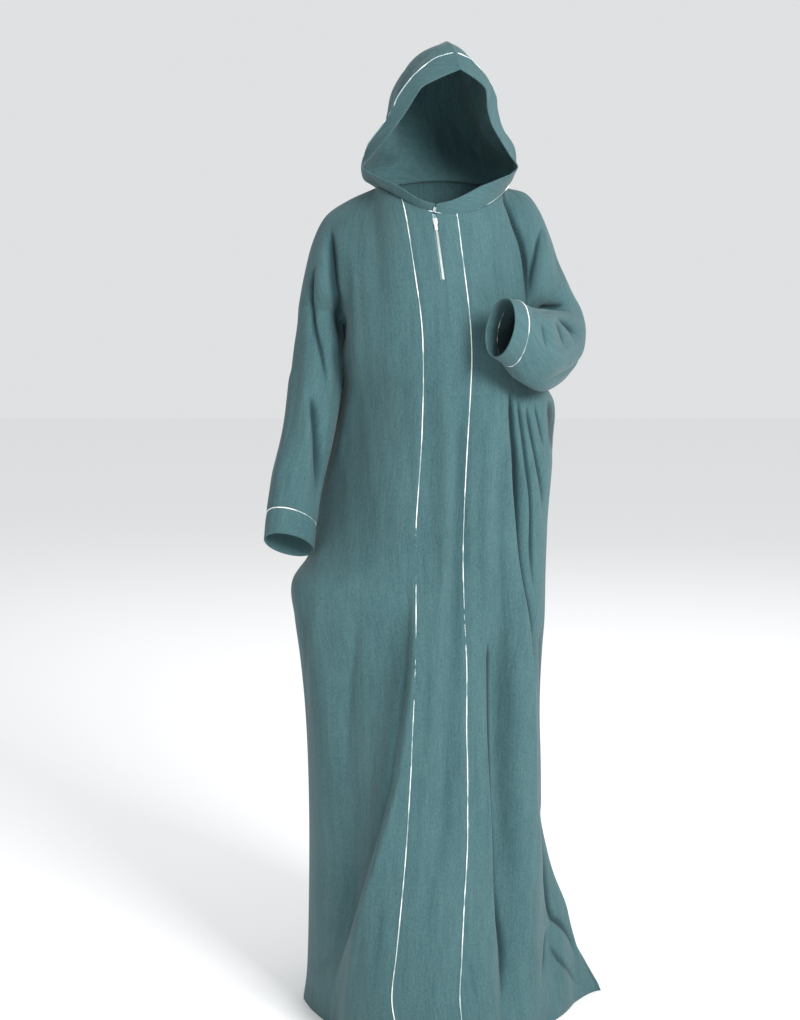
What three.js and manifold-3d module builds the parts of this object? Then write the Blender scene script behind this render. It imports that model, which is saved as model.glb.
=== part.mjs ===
import * as THREE from "three";
import { mergeVertices } from "three/addons/utils/BufferGeometryUtils.js";
import Module from "manifold-3d";

// A hooded abaya of crinkled crepe, worn with the hood up, as a hollow garment.
// Millimetres, +Z up. The front faces -Y and the wearer's right side is at -X.
// The origin is at the base of the neck, where the shoulders carry the weight.
// One sleeve hangs with its cuff forward, and the skirt is drawn out beside it.
// The other sleeve is bent, with its cuff in front of the chest.

// Cloth and trim
const WALL = 2; // cloth with its seam allowances
const SEAM_GAP = 0.3; // between two pieces at a seam
const PIPING_RADIUS = 1.3;
const PIPING_LIFT = 0.5; // clear of the cloth it lies on
const PIPING_SIDES = 4;

// Mesh steps
const BODICE_STEPS = 8;
const SHOULDER_COLUMNS = 6;
const BACK_NECK_COLUMNS = 10;
const SLEEVE_STEPS = 9;
const CUFF_STEPS = 2;
const HOOD_COLUMNS = 12; // from the neckline to the crown seam
const BAND_STEPS = 2;

// Zip
const SLIT_HALF = 4.2; // half the width left open between the slit's two edges
const ZIP_ROWS = 5; // rows of the front that the slit runs through

const degrees = THREE.MathUtils.degToRad;
const { lerp, smoothstep } = THREE.MathUtils;
const vector = (x, y, z) => new THREE.Vector3(x, y, z);
const between = (a, b, t) => new THREE.Vector3().lerpVectors(a, b, t);

// Sections of the body from the hem up to the underarm. right and left are the side seams' x, rightY
// and leftY their y, front and back the middle's y.
const SECTIONS = [
  { z: -1400, right: -234, left: 296, rightY: 27, leftY: 66, front: -230, back: 262 },
  { z: -1355, right: -228, left: 272, rightY: 22, leftY: 54, front: -222, back: 250 },
  { z: -1300, right: -225, left: 244, rightY: 16, leftY: 40, front: -214, back: 238 },
  { z: -1230, right: -223, left: 221, rightY: 10, leftY: 28, front: -204, back: 222 },
  { z: -1150, right: -221, left: 200, rightY: 4, leftY: 18, front: -193, back: 208 },
  { z: -1060, right: -220, left: 181, rightY: 0, leftY: 12, front: -182, back: 198 },
  { z: -960, right: -221, left: 175, rightY: -6, leftY: 8, front: -172, back: 186 },
  { z: -860, right: -225, left: 176, rightY: -16, leftY: 8, front: -163, back: 177 },
  { z: -770, right: -232, left: 179, rightY: -28, leftY: 10, front: -157, back: 169 },
  { z: -700, right: -240, left: 181, rightY: -38, leftY: 10, front: -153, back: 162 },
  { z: -640, right: -244, left: 182, rightY: -44, leftY: 10, front: -150, back: 157 },
  { z: -605, right: -220, left: 183, rightY: -14, leftY: 12, front: -148, back: 154 },
  { z: -575, right: -213, left: 184, rightY: 10, leftY: 12, front: -147, back: 151 },
  { z: -530, right: -210, left: 186, rightY: 28, leftY: 14, front: -145, back: 147 },
  { z: -470, right: -203, left: 191, rightY: 38, leftY: 16, front: -143, back: 141 },
  { z: -405, right: -190, left: 196, rightY: 42, leftY: 20, front: -142, back: 135 },
  { z: -345, right: -176, left: 198, rightY: 38, leftY: 22, front: -141, back: 129 },
  { z: -308, right: -166, left: 176, rightY: 32, leftY: 22, front: -140, back: 124 },
  { z: -285, right: -159, left: 157, rightY: 26, leftY: 16, front: -139, back: 121 },
  { z: -250, right: -149, left: 148, rightY: 14, leftY: 12, front: -138, back: 118 },
  { z: -212, right: -148, left: 142, rightY: 12, leftY: 10, front: -136, back: 114 },
];
// The same sections' fronts. seamR and seamL are the piped seams' x; bulgeR and bulgeL say how soon the
// front falls back towards each side, over 1 like a wing.
const FRONTS = [
  { z: -1400, seamR: -54, seamL: 46, bulgeR: 1.7, bulgeL: 3.6 },
  { z: -1355, seamR: -60, seamL: 40, bulgeR: 1.6, bulgeL: 3.2 },
  { z: -1300, seamR: -67, seamL: 34, bulgeR: 1.5, bulgeL: 2.6 },
  { z: -1230, seamR: -62, seamL: 37, bulgeR: 1.4, bulgeL: 2.0 },
  { z: -1150, seamR: -56, seamL: 40, bulgeR: 1.25, bulgeL: 1.5 },
  { z: -1060, seamR: -50, seamL: 45, bulgeR: 1.1, bulgeL: 1.1 },
  { z: -960, seamR: -45, seamL: 45, bulgeR: 0.95, bulgeL: 0.9 },
  { z: -860, seamR: -41, seamL: 43, bulgeR: 0.85, bulgeL: 0.8 },
  { z: -770, seamR: -38, seamL: 43, bulgeR: 0.8, bulgeL: 0.75 },
  { z: -700, seamR: -37, seamL: 42, bulgeR: 0.8, bulgeL: 0.72 },
  { z: -640, seamR: -37, seamL: 41, bulgeR: 0.9, bulgeL: 0.72 },
  { z: -605, seamR: -37, seamL: 40, bulgeR: 1.2, bulgeL: 0.72 },
  { z: -575, seamR: -37, seamL: 40, bulgeR: 1.5, bulgeL: 0.72 },
  { z: -530, seamR: -37, seamL: 41, bulgeR: 1.8, bulgeL: 0.72 },
  { z: -470, seamR: -33, seamL: 43, bulgeR: 1.9, bulgeL: 0.72 },
  { z: -405, seamR: -29, seamL: 46, bulgeR: 1.9, bulgeL: 0.75 },
  { z: -345, seamR: -27, seamL: 49, bulgeR: 1.7, bulgeL: 1.0 },
  { z: -308, seamR: -26, seamL: 51, bulgeR: 1.4, bulgeL: 1.15 },
  { z: -285, seamR: -26, seamL: 52, bulgeR: 1.2, bulgeL: 1.05 },
  { z: -250, seamR: -26, seamL: 53, bulgeR: 0.85, bulgeL: 0.85 },
  { z: -212, seamR: -26, seamL: 53, bulgeR: 0.72, bulgeL: 0.72 },
];
const UNDERARM = SECTIONS[SECTIONS.length - 1].z;

// Armhole rings at the dropped shoulder seams: the centre, and half-sizes towards the outer arm and
// the front.
const ARMHOLES = {
  right: { centre: [-190.5, 8.5, -199], out: [-42.5, -3.5, 13], front: [0, -50, 14] },
  left: { centre: [178.5, 9, -175], out: [36.5, -1, 37], front: [-4, -50, -2] },
};

// Overarm seams, from the dropped shoulder seam up to the side of the neck.
const OVERARM = {
  right: [
    [-233, 5, -186], [-224, 7, -138], [-208, 10, -76], [-186, 12, -34], [-150, 12, -9], [-103, 10, 12],
  ],
  left: [[215, 8, -138], [200, 10, -106], [188, 12, -70], [168, 12, -24], [146, 12, 3], [113, 10, 12]],
};

// Neckline, round the base of the neck and down to the top of the zip, by the angle from the front.
const NECK = {
  centreX: 5,
  halfWidth: 108,
  sideY: 10,
  sideZ: 12,
  frontReach: 132,
  frontDrop: 47,
  lean: 6, // the wearer's left half of the front hangs lower
  napeReach: 65,
  napeRise: 16,
};
const ZIP_ANGLE = -7.4;
const BAND_END = 0.5; // from the zip's middle to the end of the hood's band
const NECK_ANGLES = {
  right: [-90, -75, -63, -50, -37], // the side front, up to its piped seam
  centreRight: [-37, -22, -9.6],
  centreLeft: [-5.2, 4, 12],
  left: [12, 27, 43, 59, 75, 90],
};
const HOOD_FROM = { right: -75, left: 75 }; // where the hood's band leaves the neckline
const HOOD_BACK_ANGLES = [90, 97.5, 105, 112.5, 120, 127.5, 135, 142.5, 150, 157.5, 165];

// Sleeve sections, from the armhole to the cuff's edge, each with its centre and the same half-sizes.
const SLEEVE_RIGHT = [
  { at: 0, ...ARMHOLES.right },
  { at: 0.25, centre: [-200, -12, -290], out: [-43, 0, 6], front: [0, -48, 8] },
  { at: 0.5, centre: [-215, -30, -392], out: [-42, 0, 8], front: [-2, -44, 14] },
  { at: 0.74, centre: [-235, -48, -480], out: [-41, -4, 10], front: [-2, -37, 20] },
  { at: 0.9, centre: [-244, -58, -542], out: [-41, -5, 9], front: [-2, -32, 23] },
  { at: 1, centre: [-247, -64, -576], out: [-41, -6, 8], front: [-2, -29, 22] },
];
const SLEEVE_LEFT = [
  { at: 0, ...ARMHOLES.left },
  { at: 0.2, centre: [205, 22, -206], out: [38, 4, 14], front: [-8, -44, 14] },
  { at: 0.42, centre: [205, -16, -236], out: [38, -10, -2], front: [-10, -26, 48] },
  { at: 0.66, centre: [162, -120, -250], out: [30, -26, -4], front: [-2, -6, 64] },
  { at: 0.8, centre: [133, -160, -240], out: [26, -24, -4], front: [6, -6, 60] },
  { at: 0.88, centre: [114, -182, -224], out: [23, -22, -5], front: [8, -6, 52] },
  { at: 1, centre: [93, -204, -214], out: [20, -22, -5], front: [10, -6, 46] },
];
const CUFF_FROM = 0.88; // where along the sleeve the cuff is joined on

// The hood before the head turns it. x is half a width.
// Its free edge frames the face: from the zip up to the shoulder, then over the flared corner to the crown.
const FREE_EDGE_LOW = [
  [1.2, -128, -21], [24, -125, -15], [46, -118, -4], [66, -108, 8], [90, -94, 18], [112, -78, 28],
];
const FREE_EDGE_HIGH = [
  [112, -78, 28],
  [127, -66, 42],
  [110, -76, 62],
  [90, -92, 91],
  [80, -98, 108],
  [69, -106, 131],
  [63, -112, 148],
  [56, -116, 162],
  [34, -121, 175],
  [0, -127, 190],
];
const FREE_EDGE_SHIFT = { zip: -6, shoulder: 4 }; // x of its middle
// The seam between its band and the hood, from the neckline up to the crown.
const BAND_SEAM = [
  [121, -22, 24],
  [126, -34, 48],
  [121, -52, 76],
  [104, -70, 104],
  [93, -80, 132],
  [85, -86, 154],
  [66, -91, 181],
  [48, -94, 197],
  [30, -97, 209],
  [0, -101, 218],
];
// Arches of the hood by the angle at which they leave the neckline: flare is the widest point above the
// shoulder, side the point at the temple, and topY and topZ the point on the crown seam.
const ARCHES = [
  { angle: 75, flare: [126, -34, 48], side: [92, -80, 132], topY: -101, topZ: 218 },
  { angle: 90, flare: [127, -14, 45], side: [85, -50, 134], topY: -60, topZ: 240 },
  { angle: 102, flare: [120, 10, 43], side: [84, -12, 134], topY: -10, topZ: 239 },
  { angle: 114, flare: [110, 32, 43], side: [78, 28, 130], topY: 44, topZ: 222 },
  { angle: 126, flare: [98, 50, 44], side: [68, 58, 116], topY: 80, topZ: 190 },
  { angle: 138, flare: [82, 64, 44], side: [56, 78, 94], topY: 98, topZ: 146 },
  { angle: 150, flare: [62, 74, 42], side: [42, 84, 68], topY: 98, topZ: 96 },
  { angle: 165, flare: [33, 74, 32], side: [20, 75, 34], topY: 77, topZ: 34 },
];
// Between the temple and the crown seam: shares of the half width, and of the way back and up.
const CROWN = [
  { wide: 0.8, deep: 0.55, up: 0.49 },
  { wide: 0.52, deep: 0.8, up: 0.8 },
];
const CHEEK = vector(-6, 0, 0); // how far the hood draws in halfway up to the temple
const HOOD_FOOT = vector(0, 0, 0.8); // clear of the body's neckline
const SEAM_EASE = 35; // angle over which the hood takes its arches' shape behind the band
const LEFT_NARROWER = 0.13; // how much narrower the hood is on the wearer's left, above NARROW_TO
const NARROW_FROM = 60;
const NARROW_TO = 130;
const HEAD_TURN = { angle: 16, x: 6, y: -10, fromZ: 0, over: 150 };

// The largest folds. Each runs from (x1, z1) down to (x2, z2); towards -X it spreads over wide1 and
// towards +X over wide2. depth is how far the cloth stands out, negative for a trough.
const FRONT_FOLDS = [
  { x1: -182, z1: -50, x2: -156, z2: -236, wide1: 12, wide2: 26, depth: -26 },
  { x1: 118, z1: -20, x2: 150, z2: -200, wide1: 10, wide2: 22, depth: -22 },
  { x1: -30, z1: -640, x2: -150, z2: -1480, wide1: 26, wide2: 110, depth: 30 },
  { x1: 86, z1: -640, x2: 124, z2: -1480, wide1: 14, wide2: 24, depth: -18 },
  { x1: 118, z1: -330, x2: 168, z2: -860, wide1: 10, wide2: 12, depth: -10 },
  { x1: 142, z1: -560, x2: 158, z2: -1440, wide1: 26, wide2: 22, depth: 12 },
  { x1: -150, z1: -700, x2: -150, z2: -1250, wide1: 30, wide2: 34, depth: -10 },
  { x1: 226, z1: -1080, x2: 214, z2: -1480, wide1: 20, wide2: 26, depth: 12 },
];
const BACK_FOLDS = [
  { x1: -12, z1: -150, x2: -40, z2: -1500, wide1: 46, wide2: 30, depth: 18 },
  { x1: 52, z1: -240, x2: 66, z2: -1500, wide1: 26, wide2: 40, depth: -20 },
  { x1: 104, z1: -180, x2: 140, z2: -1480, wide1: 34, wide2: 24, depth: 16 },
  { x1: -84, z1: -300, x2: -120, z2: -1500, wide1: 30, wide2: 22, depth: -20 },
  { x1: -128, z1: -380, x2: -172, z2: -1480, wide1: 24, wide2: 28, depth: 14 },
  { x1: 150, z1: -420, x2: 196, z2: -1460, wide1: 18, wide2: 20, depth: -14 },
];
const FOLD_FADE = 150; // length over which a fold begins and ends

// A smooth curve through values at rising keys.
function smoothThrough(keys, values) {
  const last = keys.length - 1;
  const slope = values.map((v, i) => {
    const a = Math.max(i - 1, 0);
    const b = Math.min(i + 1, last);
    return (values[b] - values[a]) / (keys[b] - keys[a]);
  });
  return (key) => {
    let i = 0;
    while (i < last - 1 && key > keys[i + 1]) i += 1;
    const span = keys[i + 1] - keys[i];
    const t = THREE.MathUtils.clamp((key - keys[i]) / span, 0, 1);
    const t2 = t * t;
    const t3 = t2 * t;
    return (
      (2 * t3 - 3 * t2 + 1) * values[i] +
      (t3 - 2 * t2 + t) * span * slope[i] +
      (3 * t2 - 2 * t3) * values[i + 1] +
      (t3 - t2) * span * slope[i + 1]
    );
  };
}

// A smooth path through points, followed evenly from 0 to 1.
function smoothPath(points) {
  const keys = [0];
  for (let i = 1; i < points.length; i += 1) keys.push(keys[i - 1] + points[i].distanceTo(points[i - 1]));
  const total = keys[keys.length - 1];
  const [x, y, z] = ["x", "y", "z"].map((axis) =>
    smoothThrough(
      keys.map((k) => k / total),
      points.map((p) => p[axis]),
    ),
  );
  return (t) => vector(x(t), y(t), z(t));
}

const column = (table, key, name) =>
  smoothThrough(
    table.map((row) => row[key]),
    table.map((row) => row[name]),
  );
const SECTION_AT = {};
for (const table of [SECTIONS, FRONTS])
  for (const name of Object.keys(table[0])) SECTION_AT[name] = column(table, "z", name);

// A vector column of a table, as a function of its "at" column.
const vectorColumn = (table, name) => {
  const axes = [0, 1, 2].map((k) =>
    smoothThrough(
      table.map((row) => row.at),
      table.map((row) => row[name][k]),
    ),
  );
  return (at) => vector(...axes.map((axis) => axis(at)));
};

// Body

const ROUND_X = 0.92; // under 1 squares the section's corners
const ROUND_BACK = 0.72;

// The point of a level section: angle -90 degrees is the right side seam and 90 the left one.
function sectionPoint(z, angle, face) {
  const right = SECTION_AT.right(z);
  const left = SECTION_AT.left(z);
  const across = Math.sign(angle) * Math.abs(Math.sin(angle)) ** ROUND_X;
  const x = lerp(right, left, (across + 1) / 2);
  const side = lerp(SECTION_AT.rightY(z), SECTION_AT.leftY(z), (across + 1) / 2);
  const reach = SECTION_AT[face](z) - side;
  const round = face === "back" ? ROUND_BACK : SECTION_AT[angle < 0 ? "bulgeR" : "bulgeL"](z);
  return vector(x, side + reach * Math.max(Math.cos(angle), 0) ** round, z);
}

// The angle at which a level section passes a given x.
function angleAt(z, x) {
  const across = ((x - SECTION_AT.right(z)) / (SECTION_AT.left(z) - SECTION_AT.right(z))) * 2 - 1;
  return Math.sign(across) * Math.asin(Math.abs(across) ** (1 / ROUND_X));
}

// The neckline, by the angle from the front; negative angles are the wearer's right.
function neckPoint(angle) {
  const beta = degrees(angle);
  const c = Math.cos(beta);
  const front = c > 0;
  const reach = front ? NECK.frontReach : NECK.napeReach;
  const rise = front ? -NECK.frontDrop * c * c - NECK.lean * Math.sin(2 * beta) : NECK.napeRise * c * c;
  return vector(NECK.centreX + NECK.halfWidth * Math.sin(beta), NECK.sideY - reach * c, NECK.sideZ + rise);
}
const BACK_NECK_ANGLES = range(90, 270, BACK_NECK_COLUMNS);

// A point on the straight pieces between the panels' own neckline points.
function neckChord(angle) {
  const turned = angle < -90 ? angle + 360 : angle;
  const all = new Set([...Object.values(NECK_ANGLES).flat(), ...BACK_NECK_ANGLES]);
  const corners = [...all].sort((a, b) => a - b);
  const after = Math.max(corners.findIndex((corner) => corner >= turned), 1);
  const [low, high] = [corners[after - 1], corners[after]];
  return between(neckPoint(low), neckPoint(high), (turned - low) / (high - low));
}

// An armhole's ring: 0 is the underarm, a half turn the overarm seam, and the front comes between.
function ringPoint(ring, theta) {
  const out = ring.out.clone().multiplyScalar(-Math.cos(theta));
  const front = ring.front.clone().multiplyScalar(Math.sin(theta));
  return ring.centre.clone().add(out).add(front);
}
const asRing = (row) => ({
  centre: vector(...row.centre),
  out: vector(...row.out),
  front: vector(...row.front),
});
const ARMHOLE_RING = { right: asRing(ARMHOLES.right), left: asRing(ARMHOLES.left) };

const overarm = {};
for (const side of ["right", "left"])
  overarm[side] = smoothPath([
    ringPoint(ARMHOLE_RING[side], Math.PI),
    ...OVERARM[side].slice(1).map((p) => vector(...p)),
  ]);

// The top edge of each body panel as points, from its first column to its last.
function topEdges() {
  const shoulderRight = range(0, 1, SHOULDER_COLUMNS).map(overarm.right);
  const shoulderLeft = range(1, 0, SHOULDER_COLUMNS).map(overarm.left);
  const neck = (angles) => angles.map(neckPoint);
  return {
    front_side_right: [...shoulderRight, ...neck(NECK_ANGLES.right).slice(1)],
    front_centre: neck([...NECK_ANGLES.centreRight, ...NECK_ANGLES.centreLeft]),
    front_side_left: [...neck(NECK_ANGLES.left).slice(0, -1), ...shoulderLeft],
    back: [
      ...[...shoulderLeft].reverse(),
      ...neck(BACK_NECK_ANGLES).slice(1, -1),
      ...[...shoulderRight].reverse(),
    ],
  };
}

function range(from, to, steps) {
  return Array.from({ length: steps + 1 }, (_, i) => lerp(from, to, i / steps));
}

// How far a fold moves the cloth at a place on the front or back.
function foldDepth(folds, x, z) {
  let sum = 0;
  for (const fold of folds) {
    const along = (fold.z1 - z) / (fold.z1 - fold.z2);
    const off = x - lerp(fold.x1, fold.x2, along);
    const wide = off < 0 ? fold.wide1 : fold.wide2;
    const fade = smoothstep(fold.z1 - z, 0, FOLD_FADE) * smoothstep(z - fold.z2, 0, FOLD_FADE);
    sum += fold.depth * fade * Math.exp(-((off / wide) ** 2));
  }
  return sum;
}

// The rows of a body panel, from the hem to its top edge. angleOf gives each column's place on a
// level section; ends says which armholes its first and last columns follow, and half which half
// of the ring they run along.
function bodyGrid({ top, face, angleOf, ends, half }) {
  const lastColumn = top.length - 1;
  const level = (z) => top.map((_, i) => sectionPoint(z, angleOf(i / lastColumn, z), face));
  const rows = SECTIONS.slice(0, -1).map((section) => level(section.z));
  const bottom = level(UNDERARM);
  for (const w of range(0, 1, BODICE_STEPS)) {
    const rounded = Math.sqrt(1 - w * w);
    const row = bottom.map((low, i) => {
      const high = top[i];
      return vector(lerp(low.x, high.x, w), high.y + (low.y - high.y) * rounded, lerp(low.z, high.z, w));
    });
    ends.forEach((side, which) => {
      if (!side) return;
      const edge = which ? row[lastColumn] : row[0];
      const move = ringPoint(ARMHOLE_RING[side], half * Math.PI * w).sub(edge);
      row.forEach((p, i) => {
        const from = (which ? lastColumn - i : i) / lastColumn;
        p.addScaledVector(move, 1 - smoothstep(from, 0, ARMHOLE_REACH));
      });
    });
    rows.push(row);
  }
  return rows;
}
const ARMHOLE_REACH = 0.5; // share of a panel's width over which an armhole shapes it

// Grids and walls

// Normals at the points of several grids, shared where the grids meet.
function sharedNormals(grids) {
  const key = (p) => [p.x, p.y, p.z].map((c) => Math.round(c * 100)).join();
  const sums = new Map();
  for (const { rows, wraps } of grids) {
    for (let r = 0; r + 1 < rows.length; r += 1) {
      const columns = rows[r].length;
      for (let c = 0; c < columns - (wraps ? 0 : 1); c += 1) {
        const d = (c + 1) % columns;
        const corners = [rows[r][c], rows[r][d], rows[r + 1][d], rows[r + 1][c]];
        const diagonal = corners[2].clone().sub(corners[0]);
        const normal = diagonal.cross(corners[3].clone().sub(corners[1]));
        for (const p of corners) {
          if (!sums.has(key(p))) sums.set(key(p), vector(0, 0, 0));
          sums.get(key(p)).add(normal);
        }
      }
    }
  }
  return (p) => sums.get(key(p)).clone().normalize();
}

function neighbour(row, c, step, wraps) {
  const next = c + step;
  return row[wraps ? (next + row.length) % row.length : THREE.MathUtils.clamp(next, 0, row.length - 1)];
}

// Half a seam gap from an edge point towards the next point, square to the edge.
function drawnIn(p, next, edge) {
  const along = edge.clone().normalize();
  const inward = next.clone().sub(p);
  inward.addScaledVector(along, -inward.dot(along));
  return inward.setLength(SEAM_GAP / 2);
}

// A closed wall on a grid of points: its outer face is lifted from them and it is thick inwards.
// Its open edges are drawn in by half a seam gap.
function wallGeometry({ rows, normals, wraps = false, lift = 0, thick = WALL, skip = () => false }) {
  const height = rows.length;
  const width = rows[0].length;
  const placed = rows.map((row, r) =>
    row.map((p, c) => {
      const q = p.clone();
      const alongRow = neighbour(row, c, 1, wraps).clone().sub(neighbour(row, c, -1, wraps));
      const alongColumn = rows[Math.min(r + 1, height - 1)][c].clone().sub(rows[Math.max(r - 1, 0)][c]);
      if (r === 0) q.add(drawnIn(p, rows[1][c], alongRow));
      if (r === height - 1) q.add(drawnIn(p, rows[height - 2][c], alongRow));
      if (!wraps && c === 0) q.add(drawnIn(p, row[1], alongColumn));
      if (!wraps && c === width - 1) q.add(drawnIn(p, row[width - 2], alongColumn));
      return q;
    }),
  );
  const positions = [];
  const outer = [];
  const inner = [];
  placed.forEach((row, r) =>
    row.forEach((p, c) => {
      const normal = normals[r][c];
      outer.push(positions.push(p.clone().addScaledVector(normal, lift)) - 1);
      inner.push(positions.push(p.clone().addScaledVector(normal, lift - thick)) - 1);
    }),
  );
  const cells = [];
  for (let r = 0; r + 1 < height; r += 1)
    for (let c = 0; c < width - (wraps ? 0 : 1); c += 1) {
      const d = (c + 1) % width;
      if (!skip(r, c)) cells.push([r * width + c, r * width + d, (r + 1) * width + d, (r + 1) * width + c]);
    }
  return closedShell(positions, outer, inner, cells);
}

// Outer and inner faces over quad cells, with a rim along every edge that only one cell has.
function closedShell(positions, outer, inner, cells) {
  const edges = new Set();
  for (const cell of cells) cell.forEach((a, i) => edges.add(`${a},${cell[(i + 1) % 4]}`));
  const index = [];
  const quad = (a, b, c, d) => index.push(a, b, c, a, c, d);
  for (const cell of cells) {
    const [a, b, c, d] = cell;
    // Both faces are split along a to c, because on a twisted cell they would pass through each other.
    quad(outer[a], outer[b], outer[c], outer[d]);
    quad(inner[c], inner[b], inner[a], inner[d]);
    cell.forEach((from, i) => {
      const to = cell[(i + 1) % 4];
      if (!edges.has(`${to},${from}`)) quad(outer[to], outer[from], inner[from], inner[to]);
    });
  }
  const geometry = new THREE.BufferGeometry().setFromPoints(positions);
  geometry.setIndex(index);
  return geometry.toNonIndexed();
}

// A round tube through points, with flat ends; normals say which way it is lifted off the cloth.
function tubeGeometry(points, normals, radius, lift) {
  const last = points.length - 1;
  const positions = [];
  const index = [];
  points.forEach((p, i) => {
    const along = points[Math.min(i + 1, last)].clone().sub(points[Math.max(i - 1, 0)]).normalize();
    const across = along.clone().cross(normals[i]).normalize();
    const up = across.clone().cross(along).normalize();
    const centre = p.clone().addScaledVector(normals[i], lift + radius);
    for (let k = 0; k < PIPING_SIDES; k += 1) {
      const turn = (2 * Math.PI * (k + 0.5)) / PIPING_SIDES;
      positions.push(
        centre
          .clone()
          .addScaledVector(across, radius * Math.cos(turn))
          .addScaledVector(up, radius * Math.sin(turn)),
      );
    }
  });
  for (let i = 0; i < last; i += 1)
    for (let k = 0; k < PIPING_SIDES; k += 1) {
      const a = i * PIPING_SIDES + k;
      const b = i * PIPING_SIDES + ((k + 1) % PIPING_SIDES);
      index.push(a, a + PIPING_SIDES, b, b, a + PIPING_SIDES, b + PIPING_SIDES);
    }
  for (let k = 1; k + 1 < PIPING_SIDES; k += 1) {
    index.push(0, k, k + 1);
    const end = last * PIPING_SIDES;
    index.push(end, end + k + 1, end + k);
  }
  const geometry = new THREE.BufferGeometry().setFromPoints(positions);
  geometry.setIndex(index);
  return geometry.toNonIndexed();
}

// Finishes
function finish(color, roughness, metalness) {
  return new THREE.MeshStandardMaterial({ color, roughness, metalness });
}
const CREPE = finish(0x4f7d82, 0.85, 0);
const SILVER_CORD = finish(0xdfe6e6, 0.35, 0.5);
const ZIP_METAL = finish(0xc9cfd0, 0.3, 1);
const ZIP_TAPE = finish(0xd5dddd, 0.8, 0);

const garment = new THREE.Group();
function addPiece(name, geometry, material, parent = garment) {
  const mesh = new THREE.Mesh(geometry, material);
  mesh.name = name;
  parent.add(mesh);
  return mesh;
}

// The four body panels share their edge points, so that their normals agree at the seams.
const QUARTER = Math.PI / 2;
const pipedAngle = (z, name) => angleAt(z, SECTION_AT[name](z));
const TOP = topEdges();

// The slit's two edges keep their width down to the end of the zip; below it they close up.
function centreAngle(a, z) {
  const right = pipedAngle(z, "seamR");
  const left = pipedAngle(z, "seamL");
  const half = SLIT_HALF / ((SECTION_AT.left(z) - SECTION_AT.right(z)) / 2);
  const columns = NECK_ANGLES.centreRight.length - 1;
  const i = Math.round(a * (2 * columns + 1));
  const middle = (right + left) / 2;
  if (i <= columns) return lerp(right, middle - half, i / columns);
  return lerp(middle + half, left, (i - columns - 1) / columns);
}

const panels = {
  front_side_right: {
    face: "front",
    angleOf: (a, z) => lerp(-QUARTER, pipedAngle(z, "seamR"), a),
    ends: ["right", null],
    half: 1,
  },
  front_centre: { face: "front", angleOf: centreAngle, ends: [null, null], half: 1 },
  front_side_left: {
    face: "front",
    angleOf: (a, z) => lerp(pipedAngle(z, "seamL"), QUARTER, a),
    ends: [null, "left"],
    half: 1,
  },
  back: { face: "back", angleOf: (a) => lerp(QUARTER, -QUARTER, a), ends: ["left", "right"], half: -1 },
};
for (const [name, panel] of Object.entries(panels)) panel.rows = bodyGrid({ top: TOP[name], ...panel });

// Sleeves: the first ring has the points of the two body panels' edges.
function sleeveRing(table, at) {
  return {
    centre: vectorColumn(table, "centre")(at),
    out: vectorColumn(table, "out")(at),
    front: vectorColumn(table, "front")(at),
  };
}
const RING_POINTS = 2 * BODICE_STEPS;
function sleeveRows(table, from, to, steps, turn) {
  return range(from, to, steps).map((at) => {
    const ring = sleeveRing(table, at);
    return range(0, 2 * Math.PI, RING_POINTS)
      .slice(0, -1)
      .map((theta) => ringPoint(ring, turn * theta));
  });
}
// The turn makes each sleeve's faces point outwards.
const sleeves = {
  right: { table: SLEEVE_RIGHT, turn: 1 },
  left: { table: SLEEVE_LEFT, turn: -1 },
};
for (const sleeve of Object.values(sleeves)) {
  sleeve.rows = sleeveRows(sleeve.table, 0, CUFF_FROM, SLEEVE_STEPS, sleeve.turn);
  sleeve.cuffRows = sleeveRows(sleeve.table, CUFF_FROM, 1, CUFF_STEPS, sleeve.turn);
}

const bodyGrids = () => [
  ...Object.values(panels).map((panel) => ({ rows: panel.rows, wraps: false })),
  ...Object.values(sleeves).map((sleeve) => ({ rows: sleeve.rows, wraps: true })),
  ...Object.values(sleeves).map((sleeve) => ({ rows: sleeve.cuffRows, wraps: true })),
];

// Folds move the body panels along their smooth normals, and die out before the side and top seams.
const SIDE_SHARE = 0.1;
const TOP_ROWS = 3;
const smoothNormal = sharedNormals(bodyGrids());
for (const panel of Object.values(panels)) {
  const folds = panel.face === "front" ? FRONT_FOLDS : BACK_FOLDS;
  const lastColumn = panel.rows[0].length - 1;
  panel.rows = panel.rows.map((row, r) =>
    row.map((p, i) => {
      const a = i / lastColumn;
      const nearTop = smoothstep(panel.rows.length - 1 - r, 0, TOP_ROWS);
      const nearFirst = panel.ends[0] ? smoothstep(a, 0, SIDE_SHARE) : 1;
      const nearLast = panel.ends[1] ? smoothstep(1 - a, 0, SIDE_SHARE) : 1;
      const depth = foldDepth(folds, p.x, p.z) * nearFirst * nearLast * nearTop;
      return p.clone().addScaledVector(smoothNormal(p), depth);
    }),
  );
}

// Hood

// The turned head takes the hood round with it, less and less towards the neckline.
function turnHead(p, base) {
  const share = THREE.MathUtils.clamp((p.z - Math.max(base, HEAD_TURN.fromZ)) / HEAD_TURN.over, 0, 1);
  const angle = degrees(HEAD_TURN.angle) * share;
  const x = p.x - HEAD_TURN.x;
  const y = p.y - HEAD_TURN.y;
  return vector(
    HEAD_TURN.x + x * Math.cos(angle) - y * Math.sin(angle),
    HEAD_TURN.y + x * Math.sin(angle) + y * Math.cos(angle),
    p.z,
  );
}

const ARCH_AT = {
  flare: (angle) => archVector("flare", angle),
  side: (angle) => archVector("side", angle),
  topY: column(ARCHES, "angle", "topY"),
  topZ: column(ARCHES, "angle", "topZ"),
};
function archVector(name, angle) {
  const angles = ARCHES.map((arch) => arch.angle);
  const axes = [0, 1, 2].map((k) => smoothThrough(angles, ARCHES.map((arch) => arch[name][k])));
  return vector(...axes.map((axis) => axis(angle)));
}

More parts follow.
